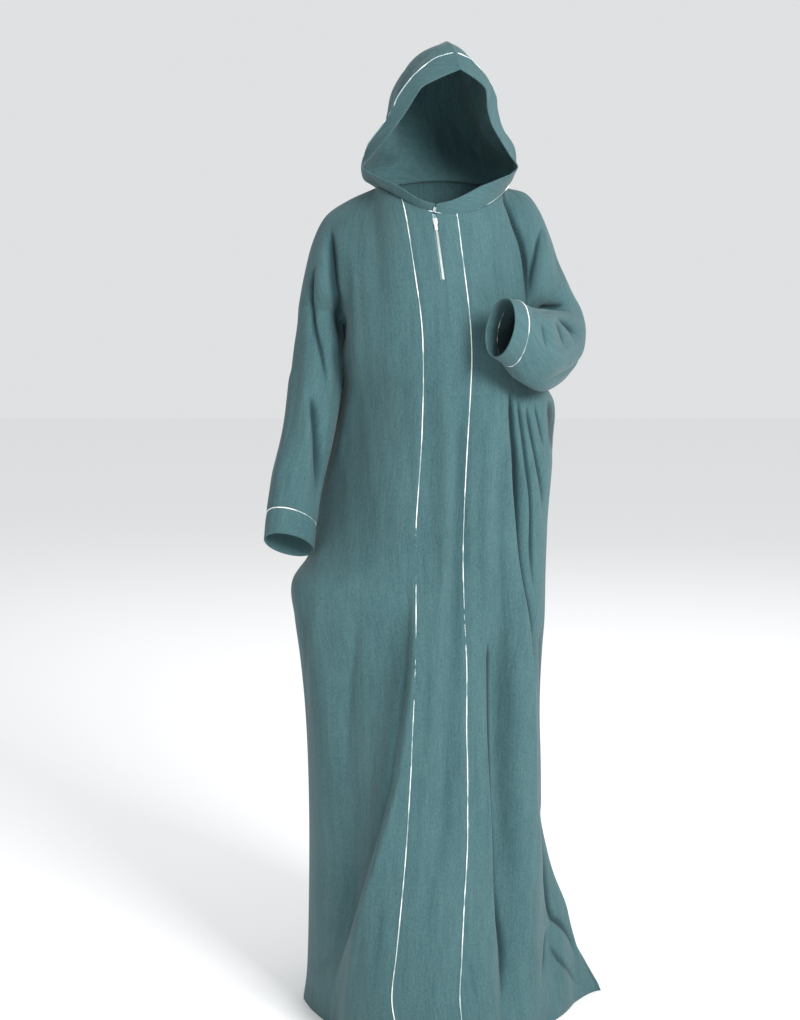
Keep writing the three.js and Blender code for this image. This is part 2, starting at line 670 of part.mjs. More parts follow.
// Half an arch behind the band, from the neckline up to the crown seam. sign is -1 on the right.
function archHalf(angle, sign) {
  const start = neckChord(sign * angle).add(HOOD_FOOT);
  if (angle === HOOD_BACK_ANGLES[HOOD_BACK_ANGLES.length - 1]) {
    const nape = neckChord(180).add(HOOD_FOOT);
    return range(0, 1, HOOD_COLUMNS).map((t) => between(start, nape, t));
  }
  const flare = ARCH_AT.flare(angle);
  const side = ARCH_AT.side(angle);
  const top = vector(0, ARCH_AT.topY(angle), ARCH_AT.topZ(angle));
  const crown = CROWN.map(({ wide, deep, up }) =>
    vector(side.x * wide, lerp(side.y, top.y, deep), lerp(side.z, top.z, up)),
  );
  const points = [flare, between(flare, side, 0.5).add(CHEEK), side, ...crown, top];
  return turnedPath(start, points, sign);
}

function turnedPath(start, points, sign) {
  const narrow = (p) => 1 - (sign > 0 ? LEFT_NARROWER * smoothstep(p.z, NARROW_FROM, NARROW_TO) : 0);
  const placed = points.map((p) => turnHead(vector(sign * p.x * narrow(p), p.y, p.z), start.z));
  return range(0, 1, HOOD_COLUMNS).map(smoothPath([start, ...placed]));
}

const fromTable = (table) => table.map((row) => vector(...row));

// The seam of the band and the free edge, as half rows from the zip to the crown.
function bandHalf(side, sign) {
  const centre = side === "right" ? [...NECK_ANGLES.centreRight].reverse() : NECK_ANGLES.centreLeft;
  const sideways = side === "right" ? [...NECK_ANGLES.right].reverse() : NECK_ANGLES.left;
  const angles = [ZIP_ANGLE + sign * BAND_END, ...centre, ...sideways.slice(1, -1)];
  const foot = angles.map((angle) => neckPoint(angle).add(HOOD_FOOT));
  const seamHigh = turnedPath(foot[foot.length - 1], fromTable(BAND_SEAM), sign);
  const seam = [...foot, ...seamHigh.slice(1)];
  const middle = (t) => lerp(FREE_EDGE_SHIFT.zip, FREE_EDGE_SHIFT.shoulder, t);
  const low = smoothPath(fromTable(FREE_EDGE_LOW));
  const edgeLow = range(0, 1, angles.length - 1).map((t) => {
    const p = low(t);
    return vector(middle(t) + sign * p.x, p.y, p.z);
  });
  const corner = edgeLow[edgeLow.length - 1];
  const edgeHigh = turnedPath(corner, fromTable(FREE_EDGE_HIGH).slice(1), sign);
  const edge = [...edgeLow, ...edgeHigh.slice(1)];
  const rows = range(0, 1, BAND_STEPS).map((t) => edge.map((p, i) => between(p, seam[i], t)));
  return { rows, seam, seamHigh, neckAngles: angles };
}

const hoodHalves = {};
for (const [side, sign] of [["right", -1], ["left", 1]]) {
  const { rows: bandRows, seam, seamHigh, neckAngles } = bandHalf(side, sign);
  const start = Math.abs(HOOD_FROM[side]);
  const firstArch = archHalf(start, sign);
  const backRows = HOOD_BACK_ANGLES.map((angle) => {
    const ease = 1 - smoothstep(angle - start, 0, SEAM_EASE);
    const toSeam = (i) => seamHigh[i].clone().sub(firstArch[i]);
    return archHalf(angle, sign).map((p, i) => p.addScaledVector(toSeam(i), ease));
  });
  hoodHalves[side] = { band: bandRows, hood: [seamHigh, ...backRows], seam, neckAngles };
}
// Rows run so that the faces point outwards: the right half as it is, the left one the other way.
const facing = (side, rows) => (side === "right" ? rows : rows.map((row) => [...row].reverse()));

// Pieces of cloth, with normals that agree at the seams within the body and within the hood.
const bodyNormal = sharedNormals(bodyGrids());
const hoodNormal = sharedNormals(
  Object.entries(hoodHalves).flatMap(([side, half]) => [
    { rows: facing(side, half.band) },
    { rows: facing(side, half.hood) },
  ]),
);
const normalsOf = (rows, normal) => rows.map((row) => row.map(normal));
const SLIT_COLUMN = NECK_ANGLES.centreRight.length - 1;
const UNDERARM_ROW = SECTIONS.length - 1;
const ZIP_FROM = UNDERARM_ROW + BODICE_STEPS - ZIP_ROWS;

// The cells left open: the zip's slit, and a sliver at the left underarm that would touch the sleeve.
const OPEN_CELLS = {
  front_centre: (r, c) => c === SLIT_COLUMN && r >= ZIP_FROM,
  back: (r, c) => c === 0 && r === UNDERARM_ROW,
};
for (const [name, { rows }] of Object.entries(panels)) {
  const normals = normalsOf(rows, bodyNormal);
  addPiece(name, wallGeometry({ rows, normals, skip: OPEN_CELLS[name] }), CREPE);
}
for (const [side, sleeve] of Object.entries(sleeves)) {
  const parts = { sleeve: sleeve.rows, cuff: sleeve.cuffRows };
  for (const [part, rows] of Object.entries(parts)) {
    const normals = normalsOf(rows, bodyNormal);
    addPiece(`${part}_${side}`, wallGeometry({ rows, normals, wraps: true }), CREPE);
  }
}
for (const [side, half] of Object.entries(hoodHalves)) {
  const parts = { hood_band: facing(side, half.band), hood: facing(side, half.hood) };
  for (const [part, rows] of Object.entries(parts))
    addPiece(`${part}_${side}`, wallGeometry({ rows, normals: normalsOf(rows, hoodNormal) }), CREPE);
}

// Silver piping along the two front seams, round the hood and round both cuffs.
const PIPING_END = 0.2; // share of a cell that it stops short of a crossing seam
const NECK_PIPING_LIFT = 1.4; // clear of the band, which leans out over it
function addPiping(name, line, normals, lift = PIPING_LIFT) {
  const points = [...line];
  const last = points.length - 1;
  points[0] = between(line[0], line[1], PIPING_END);
  points[last] = between(line[last], line[last - 1], PIPING_END);
  addPiece(name, tubeGeometry(points, normals, PIPING_RADIUS, lift), SILVER_CORD);
}
const frontSeams = {
  right: panels.front_centre.rows.map((row) => row[0]),
  left: panels.front_side_left.rows.map((row) => row[0]),
};
for (const [side, line] of Object.entries(frontSeams))
  addPiping(`piping_front_${side}`, line, line.map(bodyNormal));
for (const [side, half] of Object.entries(hoodHalves)) {
  // At the neck it lies in the corner between the band and the body.
  const bodySide = half.neckAngles.map((_, i, all) => bodyNormal(neckPoint(all[Math.max(i, 1)])));
  const normals = half.seam.map((p, i) => hoodNormal(p).add(bodySide[i] ?? hoodNormal(p)).normalize());
  addPiping(`piping_hood_${side}`, half.seam, normals, NECK_PIPING_LIFT);
}
for (const [side, sleeve] of Object.entries(sleeves)) {
  const line = sleeve.cuffRows[0];
  addPiping(`piping_cuff_${side}`, line, line.map(bodyNormal));
}

// Zip: two tapes behind the slit, the closed chain between its edges, and the slider with its pull tab.
const TAPE = { width: 9, thick: 0.8, behind: 1.3, gap: 0.3, below: 0.25 };
const CHAIN = { half: 2.1, front: -0.6, thick: 2, from: 0.04 };
const SLIDER = { width: 7.2, length: 9, front: 0.6, thick: 3, at: 0.36 };
// The bridge over the slider's front, which the pull tab's bar passes under.
const BRIDGE = { half: 0.8, from: -3, to: 3.6, height: 2.8, wall: 0.9, sunk: 0.5, clear: 0.15 };
// axis is how far the bar's middle is in front of the zip's line.
const TAB = {
  width: 5,
  length: 16,
  thick: 0.9,
  bar: 0.9,
  eyeWidth: 2.6,
  eyeLength: 3.6,
  axis: 1.62,
  round: 1.6,
  arcSteps: 4,
};

const zipLine = panels.front_centre.rows.slice(ZIP_FROM).map((row) => {
  const [right, left] = [row[SLIT_COLUMN], row[SLIT_COLUMN + 1]];
  const normal = bodyNormal(right).add(bodyNormal(left)).normalize();
  return { centre: between(right, left, 0.5), normal };
});
function alongZip(t) {
  const i = THREE.MathUtils.clamp(Math.floor(t), 0, zipLine.length - 2);
  const [low, high] = [zipLine[i], zipLine[i + 1]];
  const normal = between(low.normal, high.normal, t - i).normalize();
  const across = high.centre.clone().sub(low.centre).cross(normal).normalize();
  return { centre: between(low.centre, high.centre, t - i), across, normal };
}
const SLIDER_AT = zipLine.length - 2 + SLIDER.at;
function zipStrip(from, to, offsets, lift, thick) {
  const stations = range(from, to, 2 * ZIP_ROWS).map(alongZip);
  const rows = stations.map((s) => offsets.map((off) => s.centre.clone().addScaledVector(s.across, off)));
  const normals = stations.map((s) => offsets.map(() => s.normal));
  return wallGeometry({ rows, normals, lift, thick });
}
const TOP_OF_ZIP = zipLine.length - 1 - TAPE.below;
const tapeLift = -(WALL + TAPE.behind);
for (const [side, sign] of [["right", -1], ["left", 1]]) {
  const offsets = [sign * TAPE.gap, sign * TAPE.width].sort((a, b) => a - b);
  addPiece(`zip_tape_${side}`, zipStrip(-TAPE.below, TOP_OF_ZIP, offsets, tapeLift, TAPE.thick), ZIP_TAPE);
}
const sliderPlace = alongZip(SLIDER_AT);
const [zipTop, zipNext] = [zipLine[zipLine.length - 1], zipLine[zipLine.length - 2]];
const sliderShare = (SLIDER.length / 2 + SEAM_GAP) / zipTop.centre.distanceTo(zipNext.centre);
addPiece(
  "zip_chain",
  zipStrip(CHAIN.from, SLIDER_AT - sliderShare, [-CHAIN.half, CHAIN.half], CHAIN.front, CHAIN.thick),
  ZIP_METAL,
);

// The slider's own frame: x across the zip, y up along it and z out of the cloth.
const sliderGroup = new THREE.Group();
const { across, normal } = sliderPlace;
const upward = normal.clone().cross(across).normalize();
const outward = across.clone().cross(upward);
sliderGroup.applyMatrix4(new THREE.Matrix4().makeBasis(across, upward, outward));
sliderGroup.position.copy(sliderPlace.centre);
garment.add(sliderGroup);

const WELD = 1e-4; // points closer than this are one
const wasm = await Module();
wasm.setup();
function toSolid(geometry) {
  const bare = geometry.clone();
  bare.deleteAttribute("normal");
  bare.deleteAttribute("uv");
  const merged = mergeVertices(bare, WELD);
  const vertProperties = merged.attributes.position.array;
  return new wasm.Manifold(new wasm.Mesh({ numProp: 3, vertProperties, triVerts: merged.index.array }));
}
function toGeometry(solid) {
  const mesh = solid.getMesh();
  const geometry = new THREE.BufferGeometry();
  geometry.setAttribute("position", new THREE.BufferAttribute(mesh.vertProperties, 3));
  geometry.setIndex(new THREE.BufferAttribute(mesh.triVerts, 1));
  return geometry.toNonIndexed();
}

function sliderGeometry() {
  const body = new THREE.BoxGeometry(SLIDER.width, SLIDER.length, SLIDER.thick);
  body.translate(0, 0, SLIDER.front - SLIDER.thick / 2);
  // The bridge, drawn from the side: its x runs up the zip and its y out of the cloth.
  const base = SLIDER.front - BRIDGE.sunk;
  const top = SLIDER.front + BRIDGE.height;
  const outline = new THREE.Shape();
  outline.moveTo(BRIDGE.from, base);
  outline.lineTo(BRIDGE.to, base);
  outline.lineTo(BRIDGE.to, top - BRIDGE.wall);
  outline.lineTo(BRIDGE.to - BRIDGE.wall, top);
  outline.lineTo(BRIDGE.from + BRIDGE.wall, top);
  outline.lineTo(BRIDGE.from, top - BRIDGE.wall);
  outline.closePath();
  const slot = new THREE.Path();
  slot.moveTo(BRIDGE.from + BRIDGE.wall, SLIDER.front + BRIDGE.clear);
  slot.lineTo(BRIDGE.to - BRIDGE.wall, SLIDER.front + BRIDGE.clear);
  slot.lineTo(BRIDGE.to - BRIDGE.wall, top - BRIDGE.wall);
  slot.lineTo(BRIDGE.from + BRIDGE.wall, top - BRIDGE.wall);
  slot.closePath();
  outline.holes.push(slot);
  const bridge = new THREE.ExtrudeGeometry(outline, { depth: 2 * BRIDGE.half, bevelEnabled: false });
  bridge.translate(0, 0, -BRIDGE.half);
  bridge.applyMatrix4(new THREE.Matrix4().makeBasis(vector(0, 1, 0), vector(0, 0, 1), vector(1, 0, 0)));
  return toGeometry(toSolid(body).add(toSolid(bridge)));
}
addPiece("zip_slider", sliderGeometry(), ZIP_METAL, sliderGroup);

function tabGeometry() {
  const half = TAB.width / 2;
  const end = -TAB.length;
  const outline = new THREE.Shape();
  outline.moveTo(-half, TAB.bar / 2);
  outline.lineTo(-half, end + TAB.round);
  outline.absarc(-half + TAB.round, end + TAB.round, TAB.round, Math.PI, 1.5 * Math.PI, false);
  outline.lineTo(half - TAB.round, end);
  outline.absarc(half - TAB.round, end + TAB.round, TAB.round, 1.5 * Math.PI, 2 * Math.PI, false);
  outline.lineTo(half, TAB.bar / 2);
  outline.closePath();
  const eye = new THREE.Path();
  const eyeTop = -TAB.bar / 2;
  eye.moveTo(-TAB.eyeWidth / 2, eyeTop);
  eye.lineTo(TAB.eyeWidth / 2, eyeTop);
  eye.lineTo(TAB.eyeWidth / 2, eyeTop - TAB.eyeLength);
  eye.lineTo(-TAB.eyeWidth / 2, eyeTop - TAB.eyeLength);
  eye.closePath();
  outline.holes.push(eye);
  const settings = { depth: TAB.thick, bevelEnabled: false, curveSegments: TAB.arcSteps };
  const tab = new THREE.ExtrudeGeometry(outline, settings);
  tab.translate(0, 0, -TAB.thick / 2);
  return tab;
}
const tab = addPiece("zip_pull_tab", tabGeometry(), ZIP_METAL, sliderGroup);
tab.position.z = TAB.axis;

export default garment;
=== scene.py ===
import math
import bmesh
import bpy
import numpy as np
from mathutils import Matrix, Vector
from mathutils.kdtree import KDTree


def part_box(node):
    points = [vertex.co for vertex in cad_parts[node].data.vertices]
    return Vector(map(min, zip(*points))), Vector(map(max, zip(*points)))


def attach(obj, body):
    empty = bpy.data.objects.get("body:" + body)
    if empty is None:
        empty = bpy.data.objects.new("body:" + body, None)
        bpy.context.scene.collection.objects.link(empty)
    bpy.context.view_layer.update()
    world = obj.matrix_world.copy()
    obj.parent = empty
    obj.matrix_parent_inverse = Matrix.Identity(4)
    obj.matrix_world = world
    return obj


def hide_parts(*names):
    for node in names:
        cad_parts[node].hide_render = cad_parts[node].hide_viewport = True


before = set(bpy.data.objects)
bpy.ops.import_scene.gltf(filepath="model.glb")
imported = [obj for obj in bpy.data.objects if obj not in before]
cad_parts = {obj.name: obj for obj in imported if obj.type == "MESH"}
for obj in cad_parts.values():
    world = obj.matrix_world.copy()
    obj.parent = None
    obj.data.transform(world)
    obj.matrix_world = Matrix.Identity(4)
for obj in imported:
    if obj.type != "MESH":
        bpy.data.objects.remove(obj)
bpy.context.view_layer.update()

# Body panels
# Four long panels of crinkled crepe hang from the shoulders to the floor: a front centre panel between two
# piped seams, a side front on each side of it, and a back. They are sewn at the sides, over the shoulders
# and round the neck, and the right side is drawn back and caught up a little at half its height.

MM = 0.001  # lengths in this script are in millimetres, and angles in degrees, unless said otherwise
THICK = 1.3  # the cloth with its crinkle
HEM = -1400.0
UNDERARM = -212.0
SKIRT_ROWS = 226
BODICE_ROWS = 46
ROUND_X = 0.92  # exponents of the level sections, which say how round they are at the sides and the back
ROUND_BACK = 0.72
ARMHOLE_REACH = 0.5  # share of a panel's width that follows its armhole
BODICE_CELLS = 8  # rows of the frame's bodice, which the large folds fade over
SLIT_HALF = 4.2
SLIT_FROM = 3 / 8  # how far up the bodice the zip's slit begins

# Level sections from the hem up: the side seams' x and y, the greatest reach to the front and the back, the
# x of the piped seams, and an exponent for each half of the front, which is flatter where it is smaller.
SECTION_NAMES = (
    "z", "right", "left", "right_y", "left_y", "front", "back",
    "seam_right", "seam_left", "bulge_right", "bulge_left",
)
SECTIONS = np.array([
    (-1400, -234, 296, 27, 66, -230, 262, -54, 46, 1.70, 3.60),
    (-1355, -228, 272, 22, 54, -222, 250, -60, 40, 1.60, 3.20),
    (-1300, -225, 244, 16, 40, -214, 238, -67, 34, 1.50, 2.60),
    (-1230, -223, 221, 10, 28, -204, 222, -62, 37, 1.40, 2.00),
    (-1150, -221, 200, 4, 18, -193, 208, -56, 40, 1.25, 1.50),
    (-1060, -220, 181, 0, 12, -182, 198, -50, 45, 1.10, 1.10),
    (-960, -221, 175, -6, 8, -172, 186, -45, 45, 0.95, 0.90),
    (-860, -225, 176, -16, 8, -163, 177, -41, 43, 0.85, 0.80),
    (-770, -232, 179, -28, 10, -157, 169, -38, 43, 0.80, 0.75),
    (-700, -240, 181, -38, 10, -153, 162, -37, 42, 0.80, 0.72),
    (-640, -244, 182, -44, 10, -150, 157, -37, 41, 0.90, 0.72),
    (-605, -220, 183, -14, 12, -148, 154, -37, 40, 1.20, 0.72),
    (-575, -213, 184, 10, 12, -147, 151, -37, 40, 1.50, 0.72),
    (-530, -210, 186, 28, 14, -145, 147, -37, 41, 1.80, 0.72),
    (-470, -203, 191, 38, 16, -143, 141, -33, 43, 1.90, 0.72),
    (-405, -190, 196, 42, 20, -142, 135, -29, 46, 1.90, 0.75),
    (-345, -176, 198, 38, 22, -141, 129, -27, 49, 1.70, 1.00),
    (-308, -168, 176, 37, 22, -140, 124, -26, 51, 1.40, 1.15),
    (-285, -167, 157, 37, 16, -139, 121, -26, 52, 1.20, 1.05),
    (-250, -164, 148, 33, 12, -138, 118, -26, 53, 0.85, 0.85),
    (-230, -160, 145, 24, 11, -137, 116, -26, 53, 0.78, 0.78),
    (-212, -148, 142, 12, 10, -136, 114, -26, 53, 0.72, 0.72),
])

# Rings at the dropped shoulder seams: centre, and half-sizes towards the outer arm and the front.
ARMHOLES = {
    "right": ((-190.5, 8.5, -199), (-42.5, -3.5, 13), (0, -50, 14)),
    "left": ((178.5, 9, -175), (36.5, -1, 37), (-4, -50, -2)),
}
OVERARM = {
    "right": [(-224, 7, -138), (-208, 10, -76), (-186, 12, -34), (-150, 12, -9), (-103, 10, 12)],
    "left": [(200, 10, -106), (188, 12, -70), (168, 12, -24), (146, 12, 3), (113, 10, 12)],
}

# Neckline, by the angle from the front: its centre, how far it reaches to the sides, the front and the nape,
# how it drops in front and rises behind, and the angles that the panels' cells end at.
NECK_X = 5
NECK_HALF = 108
NECK_Y = 10
NECK_Z = 12
NECK_FRONT = 132
NECK_DROP = 47
NECK_LEAN = 6
NAPE_REACH = 65
NAPE_RISE = 16
NECK_ANGLES = {
    "right": [-90, -75, -63, -50, -37],
    "centre": [-37, -22, -9.6, -5.2, 4, 12],
    "left": [12, 27, 43, 59, 75, 90],
}
BACK_NECK_CELLS = 10
SHOULDER_CELLS = 6

# Folds: a path of (x, z), how wide the fold is towards +X and towards -X, and how far the cloth stands
# out along it, negative for a trough. The first of each list are the frame's own large folds.
FRONT_FOLDS = [
    ([(-182, -50), (-156, -236)], 26, 12, -26),
    ([(118, -20), (150, -200)], 22, 10, -22),
    ([(-30, -640), (-150, -1480)], 110, 26, 30),
    ([(86, -640), (124, -1480)], 24, 14, -18),
    ([(118, -330), (168, -860)], 12, 10, -10),
    ([(142, -560), (158, -1440)], 22, 26, 12),
    ([(-150, -700), (-150, -1250)], 34, 30, -10),
    ([(226, -1080), (214, -1480)], 26, 20, 12),
]
BACK_FOLDS = [
    ([(-12, -150), (-40, -1500)], 30, 46, 18),
    ([(52, -240), (66, -1500)], 40, 26, -20),
    ([(104, -180), (140, -1480)], 24, 34, 16),
    ([(-84, -300), (-120, -1500)], 22, 30, -20),
    ([(-128, -380), (-172, -1480)], 28, 24, 14),
    ([(150, -420), (196, -1460)], 20, 18, -14),
]
FOLD_FADE = 150  # the stretch over which a large fold begins and ends
# Finer folds of the front: which pieces they run over (b the body, r and l the sleeves), a path of (x, z),
# how wide they are towards +X and towards -X, the height, and how sharp, from 1, a crease, to 2, a wave.
FINE_FRONT_FOLDS = [
    # from the shoulders down over the chest and round the right arm
    ("br", [(-176, -34), (-177, -86), (-174, -140), (-167, -194), (-157, -240), (-150, -285)],
     7, 7, -12, 1.1),
    ("br", [(-196, -92), (-209, -140), (-206, -205), (-191, -259), (-174, -341), (-165, -372)],
     4, 5, -9.5, 1.0),
    ("b", [(-139, -64), (-139, -172), (-132, -270), (-137, -320), (-151, -379), (-169, -439), (-188, -499),
           (-212, -620)], 14, 9, 8, 1.6),
    ("bl", [(98, 34), (108, -8), (121, -43), (136, -75), (144, -107), (147, -150), (148, -240)],
     5, 4, -13, 1.0),
    ("bl", [(88, 34), (101, -8), (113, -43), (128, -75), (136, -107), (139, -150), (139, -230)],
     4, 9, 5, 1.6),
    ("bl", [(178, -30), (168, -66), (160, -103), (153, -140), (150, -210)], 4, 6, -8, 1.0),
    ("bl", [(180, -40), (174, -90), (168, -150)], 9, 7, 4, 1.7),
    ("b", [(-96, -10), (-92, -120), (-88, -260)], 20, 16, -2, 2.0),
    ("b", [(86, -30), (92, -140), (96, -260)], 15, 14, -2, 2.0),
    ("b", [(13, -130), (16, -180), (18, -250)], 3, 3, 1.6, 1.6),
    # pleats that open under the bent sleeve
    ("b", [(116, -296), (120, -369), (129, -435), (139, -596), (152, -701), (165, -845)], 6, 4, -12, 1.1),
    ("b", [(110, -309), (113, -380), (119, -462), (129, -562), (142, -672), (153, -919), (160, -1071),
           (165, -1214), (161, -1330)], 4, 10, 4, 1.5),
    ("b", [(127, -303), (137, -370), (146, -436), (155, -503), (158, -598), (165, -710)], 4, 4, -8, 1.1),
    ("b", [(141, -313), (152, -382), (163, -432), (173, -484), (177, -575)], 4, 4, -8, 1.1),
    ("b", [(155, -320), (170, -384), (181, -440)], 4, 4, -7, 1.1),
    ("b", [(170, -690), (174, -774), (173, -875), (167, -985)], 5, 5, -5, 1.2),
    # soft waves down the front
    ("b", [(107, -320), (104, -433), (103, -592), (111, -724), (122, -893), (127, -1064), (134, -1234)],
     15, 13, -5, 1.8),
    ("b", [(75, -240), (77, -433), (76, -590), (82, -722), (74, -880)], 13, 13, 6.5, 2.0),
    ("b", [(34, -260), (34, -427), (31, -556), (20, -812), (16, -943), (2, -1072), (-24, -1184),
           (-37, -1400)], 13, 13, -6, 2.0),
    ("b", [(14, -280), (14, -556), (3, -664), (-8, -822), (-17, -929), (-30, -1091), (-50, -1290)],
     7, 15, 7.5, 1.9),
    ("b", [(-18, -160), (-15, -427), (-23, -556), (-29, -730)], 14, 14, -4.5, 2.0),
    ("b", [(-118, -420), (-112, -600), (-104, -820)], 26, 20, -3, 2.0),
    # down the skirt
    ("b", [(79, -700), (81, -790), (85, -909), (98, -1061), (103, -1151), (117, -1232), (121, -1390)],
     8, 3, -9, 1.0),
    ("b", [(72, -790), (77, -907), (87, -1054), (92, -1144), (105, -1240)], 4, 9, 3.5, 1.5),
    ("b", [(104, -640), (108, -880), (119, -1020), (131, -1150), (142, -1330)], 17, 13, -6, 1.9),
    ("b", [(-131, -640), (-136, -721), (-148, -807), (-157, -893), (-162, -978), (-168, -1060)],
     8, 10, -4, 1.5),
    ("b", [(-40, -620), (-42, -767), (-50, -847), (-63, -951), (-81, -1037), (-102, -1117), (-130, -1198),
           (-158, -1307), (-176, -1450)], 16, 5, 8, 1.5),
    ("b", [(-49, -560), (-50, -767), (-61, -848), (-74, -951), (-93, -1039), (-115, -1119), (-145, -1209),
           (-176, -1325), (-190, -1500)], 4, 27, -9, 1.4),
    ("b", [(-10, -931), (18, -934), (46, -936)], 4, 4, -1.2, 1.5),
    ("b", [(182, -318), (191, -370), (193, -450)], 12, 9, -9, 1.3),
    ("b", [(-79, -1100), (-89, -1219), (-95, -1360)], 5, 5, -3, 1.4),
    ("b", [(-103, -1140), (-115, -1240), (-128, -1370)], 5, 5, -3, 1.4),
    ("b", [(34, -1120), (30, -1152), (2, -1256), (-14, -1360)], 8, 8, 3.5, 1.8),
    ("b", [(40, -1140), (46, -1170), (68, -1239), (88, -1370)], 8, 8, 3.5, 1.8),
    ("b", [(32, -1200), (38, -1222), (55, -1281), (66, -1370)], 6, 6, -4, 1.5),
    ("b", [(171, -1020), (186, -1149), (196, -1228), (209, -1251), (235, -1303), (262, -1375)],
     6, 4, -8, 1.1),
    ("b", [(160, -1010), (173, -1149), (182, -1215)], 5, 9, 4, 1.6),
    ("b", [(191, -1225), (181, -1301), (165, -1350)], 6, 5, -6, 1.2),
    ("b", [(186, -1245), (207, -1309), (238, -1356), (276, -1410)], 6, 5, -6, 1.2),
    ("b", [(228, -1240), (250, -1330), (272, -1420)], 9, 8, 5, 1.7),
    ("b", [(-216, -1340), (-189, -1291), (-163, -1250)], 9, 9, -4, 1.8),
    ("b", [(-196, -690), (-190, -860), (-196, -1100), (-206, -1440)], 14, 12, 3.5, 2.0),
    ("b", [(-216, -620), (-224, -800), (-222, -1000)], 8, 8, -4, 1.7),
    # the right sleeve
    ("r", [(-215, -300), (-204, -384), (-201, -429), (-200, -484), (-205, -540)], 13, 4, -8, 1.3),
    ("r", [(-219, -320), (-213, -384), (-211, -484), (-214, -540)], 5, 9, 3, 1.6),
    ("r", [(-176, -215), (-168, -260), (-165, -310), (-172, -372)], 8, 8, -5, 1.6),
    ("r", [(-226, -180), (-232, -260), (-240, -350), (-256, -450)], 9, 9, -3, 1.9),
    ("r", [(-236, -420), (-242, -480), (-240, -545)], 7, 7, 2, 1.9),
    # the bent left sleeve
    ("l", [(150, -177), (162, -187), (190, -186), (207, -181), (225, -175)], 5, 5, -10, 1.2),
    ("l", [(160, -200), (197, -196), (235, -184)], 5, 5, 3.5, 1.5),
    ("l", [(184, -197), (208, -207), (225, -224), (240, -235)], 4, 5, -9, 1.1),
    ("l", [(159, -192), (165, -218), (169, -242), (168, -270)], 4, 6, -5, 1.3),
    ("l", [(182, -192), (195, -219), (204, -244), (207, -264)], 4, 6, -6, 1.2),
    ("l", [(197, -190), (210, -211), (220, -227), (229, -252)], 4, 5, -6, 1.2),
    ("l", [(170, -200), (178, -226), (184, -256)], 7, 6, 3, 1.7),
    ("bl", [(196, -90), (206, -120), (212, -160)], 8, 9, -4, 1.5),
    ("l", [(120, -276), (145, -274), (174, -268)], 4, 4, -2, 1.4),
]
FINE_BACK_FOLDS = [
    ("b", [(-150, -60), (-128, -200), (-120, -420)], 10, 7, -9, 1.3),
    ("b", [(-172, -110), (-156, -220), (-148, -420), (-160, -640)], 7, 9, 6, 1.5),
    ("b", [(-100, -40), (-92, -240), (-96, -600)], 12, 14, 5, 1.8),
    ("b", [(-40, -60), (-30, -300), (-36, -760)], 14, 9, -6, 1.5),
    ("b", [(20, -60), (22, -400), (30, -900)], 14, 14, 5, 2.0),
    ("b", [(78, -60), (84, -300), (92, -700)], 7, 12, -8, 1.3),
    ("b", [(98, -90), (104, -300), (112, -560)], 7, 8, 4, 1.6),
    ("b", [(130, -60), (128, -240), (134, -520)], 8, 8, -6, 1.3),
    ("b", [(-190, -560), (-186, -800), (-198, -1440)], 7, 10, -8, 1.2),
    ("b", [(-150, -620), (-148, -900), (-152, -1440)], 10, 12, 6, 1.7),
    ("b", [(-110, -760), (-104, -1000), (-116, -1380)], 5, 7, -8, 1.2),
    ("b", [(-66, -700), (-72, -1000), (-84, -1440)], 16, 14, 6, 1.9),
    ("b", [(-34, -820), (-36, -1100), (-52, -1400)], 6, 9, -7, 1.3),
    ("b", [(0, -900), (4, -1150), (6, -1440)], 16, 14, -6, 1.8),
    ("b", [(40, -760), (48, -1060), (40, -1400)], 6, 5, -8, 1.1),
    ("b", [(74, -800), (84, -1100), (82, -1440)], 12, 12, 5, 1.8),
    ("b", [(106, -880), (110, -1154), (120, -1440)], 8, 14, -8, 1.4),
    ("b", [(168, -460), (172, -900), (214, -1440)], 6, 8, -9, 1.2),
    ("b", [(150, -520), (156, -900), (188, -1440)], 7, 10, 5, 1.6),
    ("b", [(196, -1000), (222, -1200), (250, -1440)], 10, 10, 6, 1.8),
    ("b", [(178, -1130), (204, -1290), (230, -1420)], 5, 6, -6, 1.2),
    ("b", [(-212, -1120), (-206, -1290), (-216, -1430)], 7, 7, -5, 1.4),
]
FINE_FADE = 60  # the stretch over which a crease of the front begins
SOFT_FADE = 190  # the same of a soft fold
BACK_FADE = 170  # and of a crease of the back
FADE_OUT = 2.5  # a fold dies away over a longer stretch than it begins in
FOLD_REACH = 6  # times its width, how far from its path a fold is felt
FOLD_STEPS = 20  # points along a fold's path
WANDER = 210.0  # height in millimetres over which the soft waves of the cloth drift sideways
WAVE = 26.0
WELD_WITHIN = 0.05  # points of meeting edges that are nearer than this are one


def smooth_through(keys, values):
    """A smooth curve through values at rising keys."""
    keys, values = np.asarray(keys, float), np.asarray(values, float)
    last = len(keys) - 1
    low = np.maximum(np.arange(last + 1) - 1, 0)
    high = np.minimum(np.arange(last + 1) + 1, last)
    slopes = ((values[high] - values[low]).T / (keys[high] - keys[low])).T

    def at(key):
        key = np.asarray(key, float)
        i = np.clip(np.searchsorted(keys, key) - 1, 0, last - 1)
        span = keys[i + 1] - keys[i]
        t = np.clip((key - keys[i]) / span, 0, 1)
        if values.ndim == 2:
            span, t = span[..., None], t[..., None]
        start = (2 * t**3 - 3 * t**2 + 1) * values[i] + (t**3 - 2 * t**2 + t) * span * slopes[i]
        end = (3 * t**2 - 2 * t**3) * values[i + 1] + (t**3 - t**2) * span * slopes[i + 1]
        return start + end

    return at


def smooth_path(points):
    """A smooth path through points, followed evenly from 0 to 1."""
    points = np.asarray(points, float)
    steps = np.linalg.norm(np.diff(points, axis=0), axis=1)
    keys = np.concatenate([[0], np.cumsum(steps)])
    return smooth_through(keys / keys[-1], points)


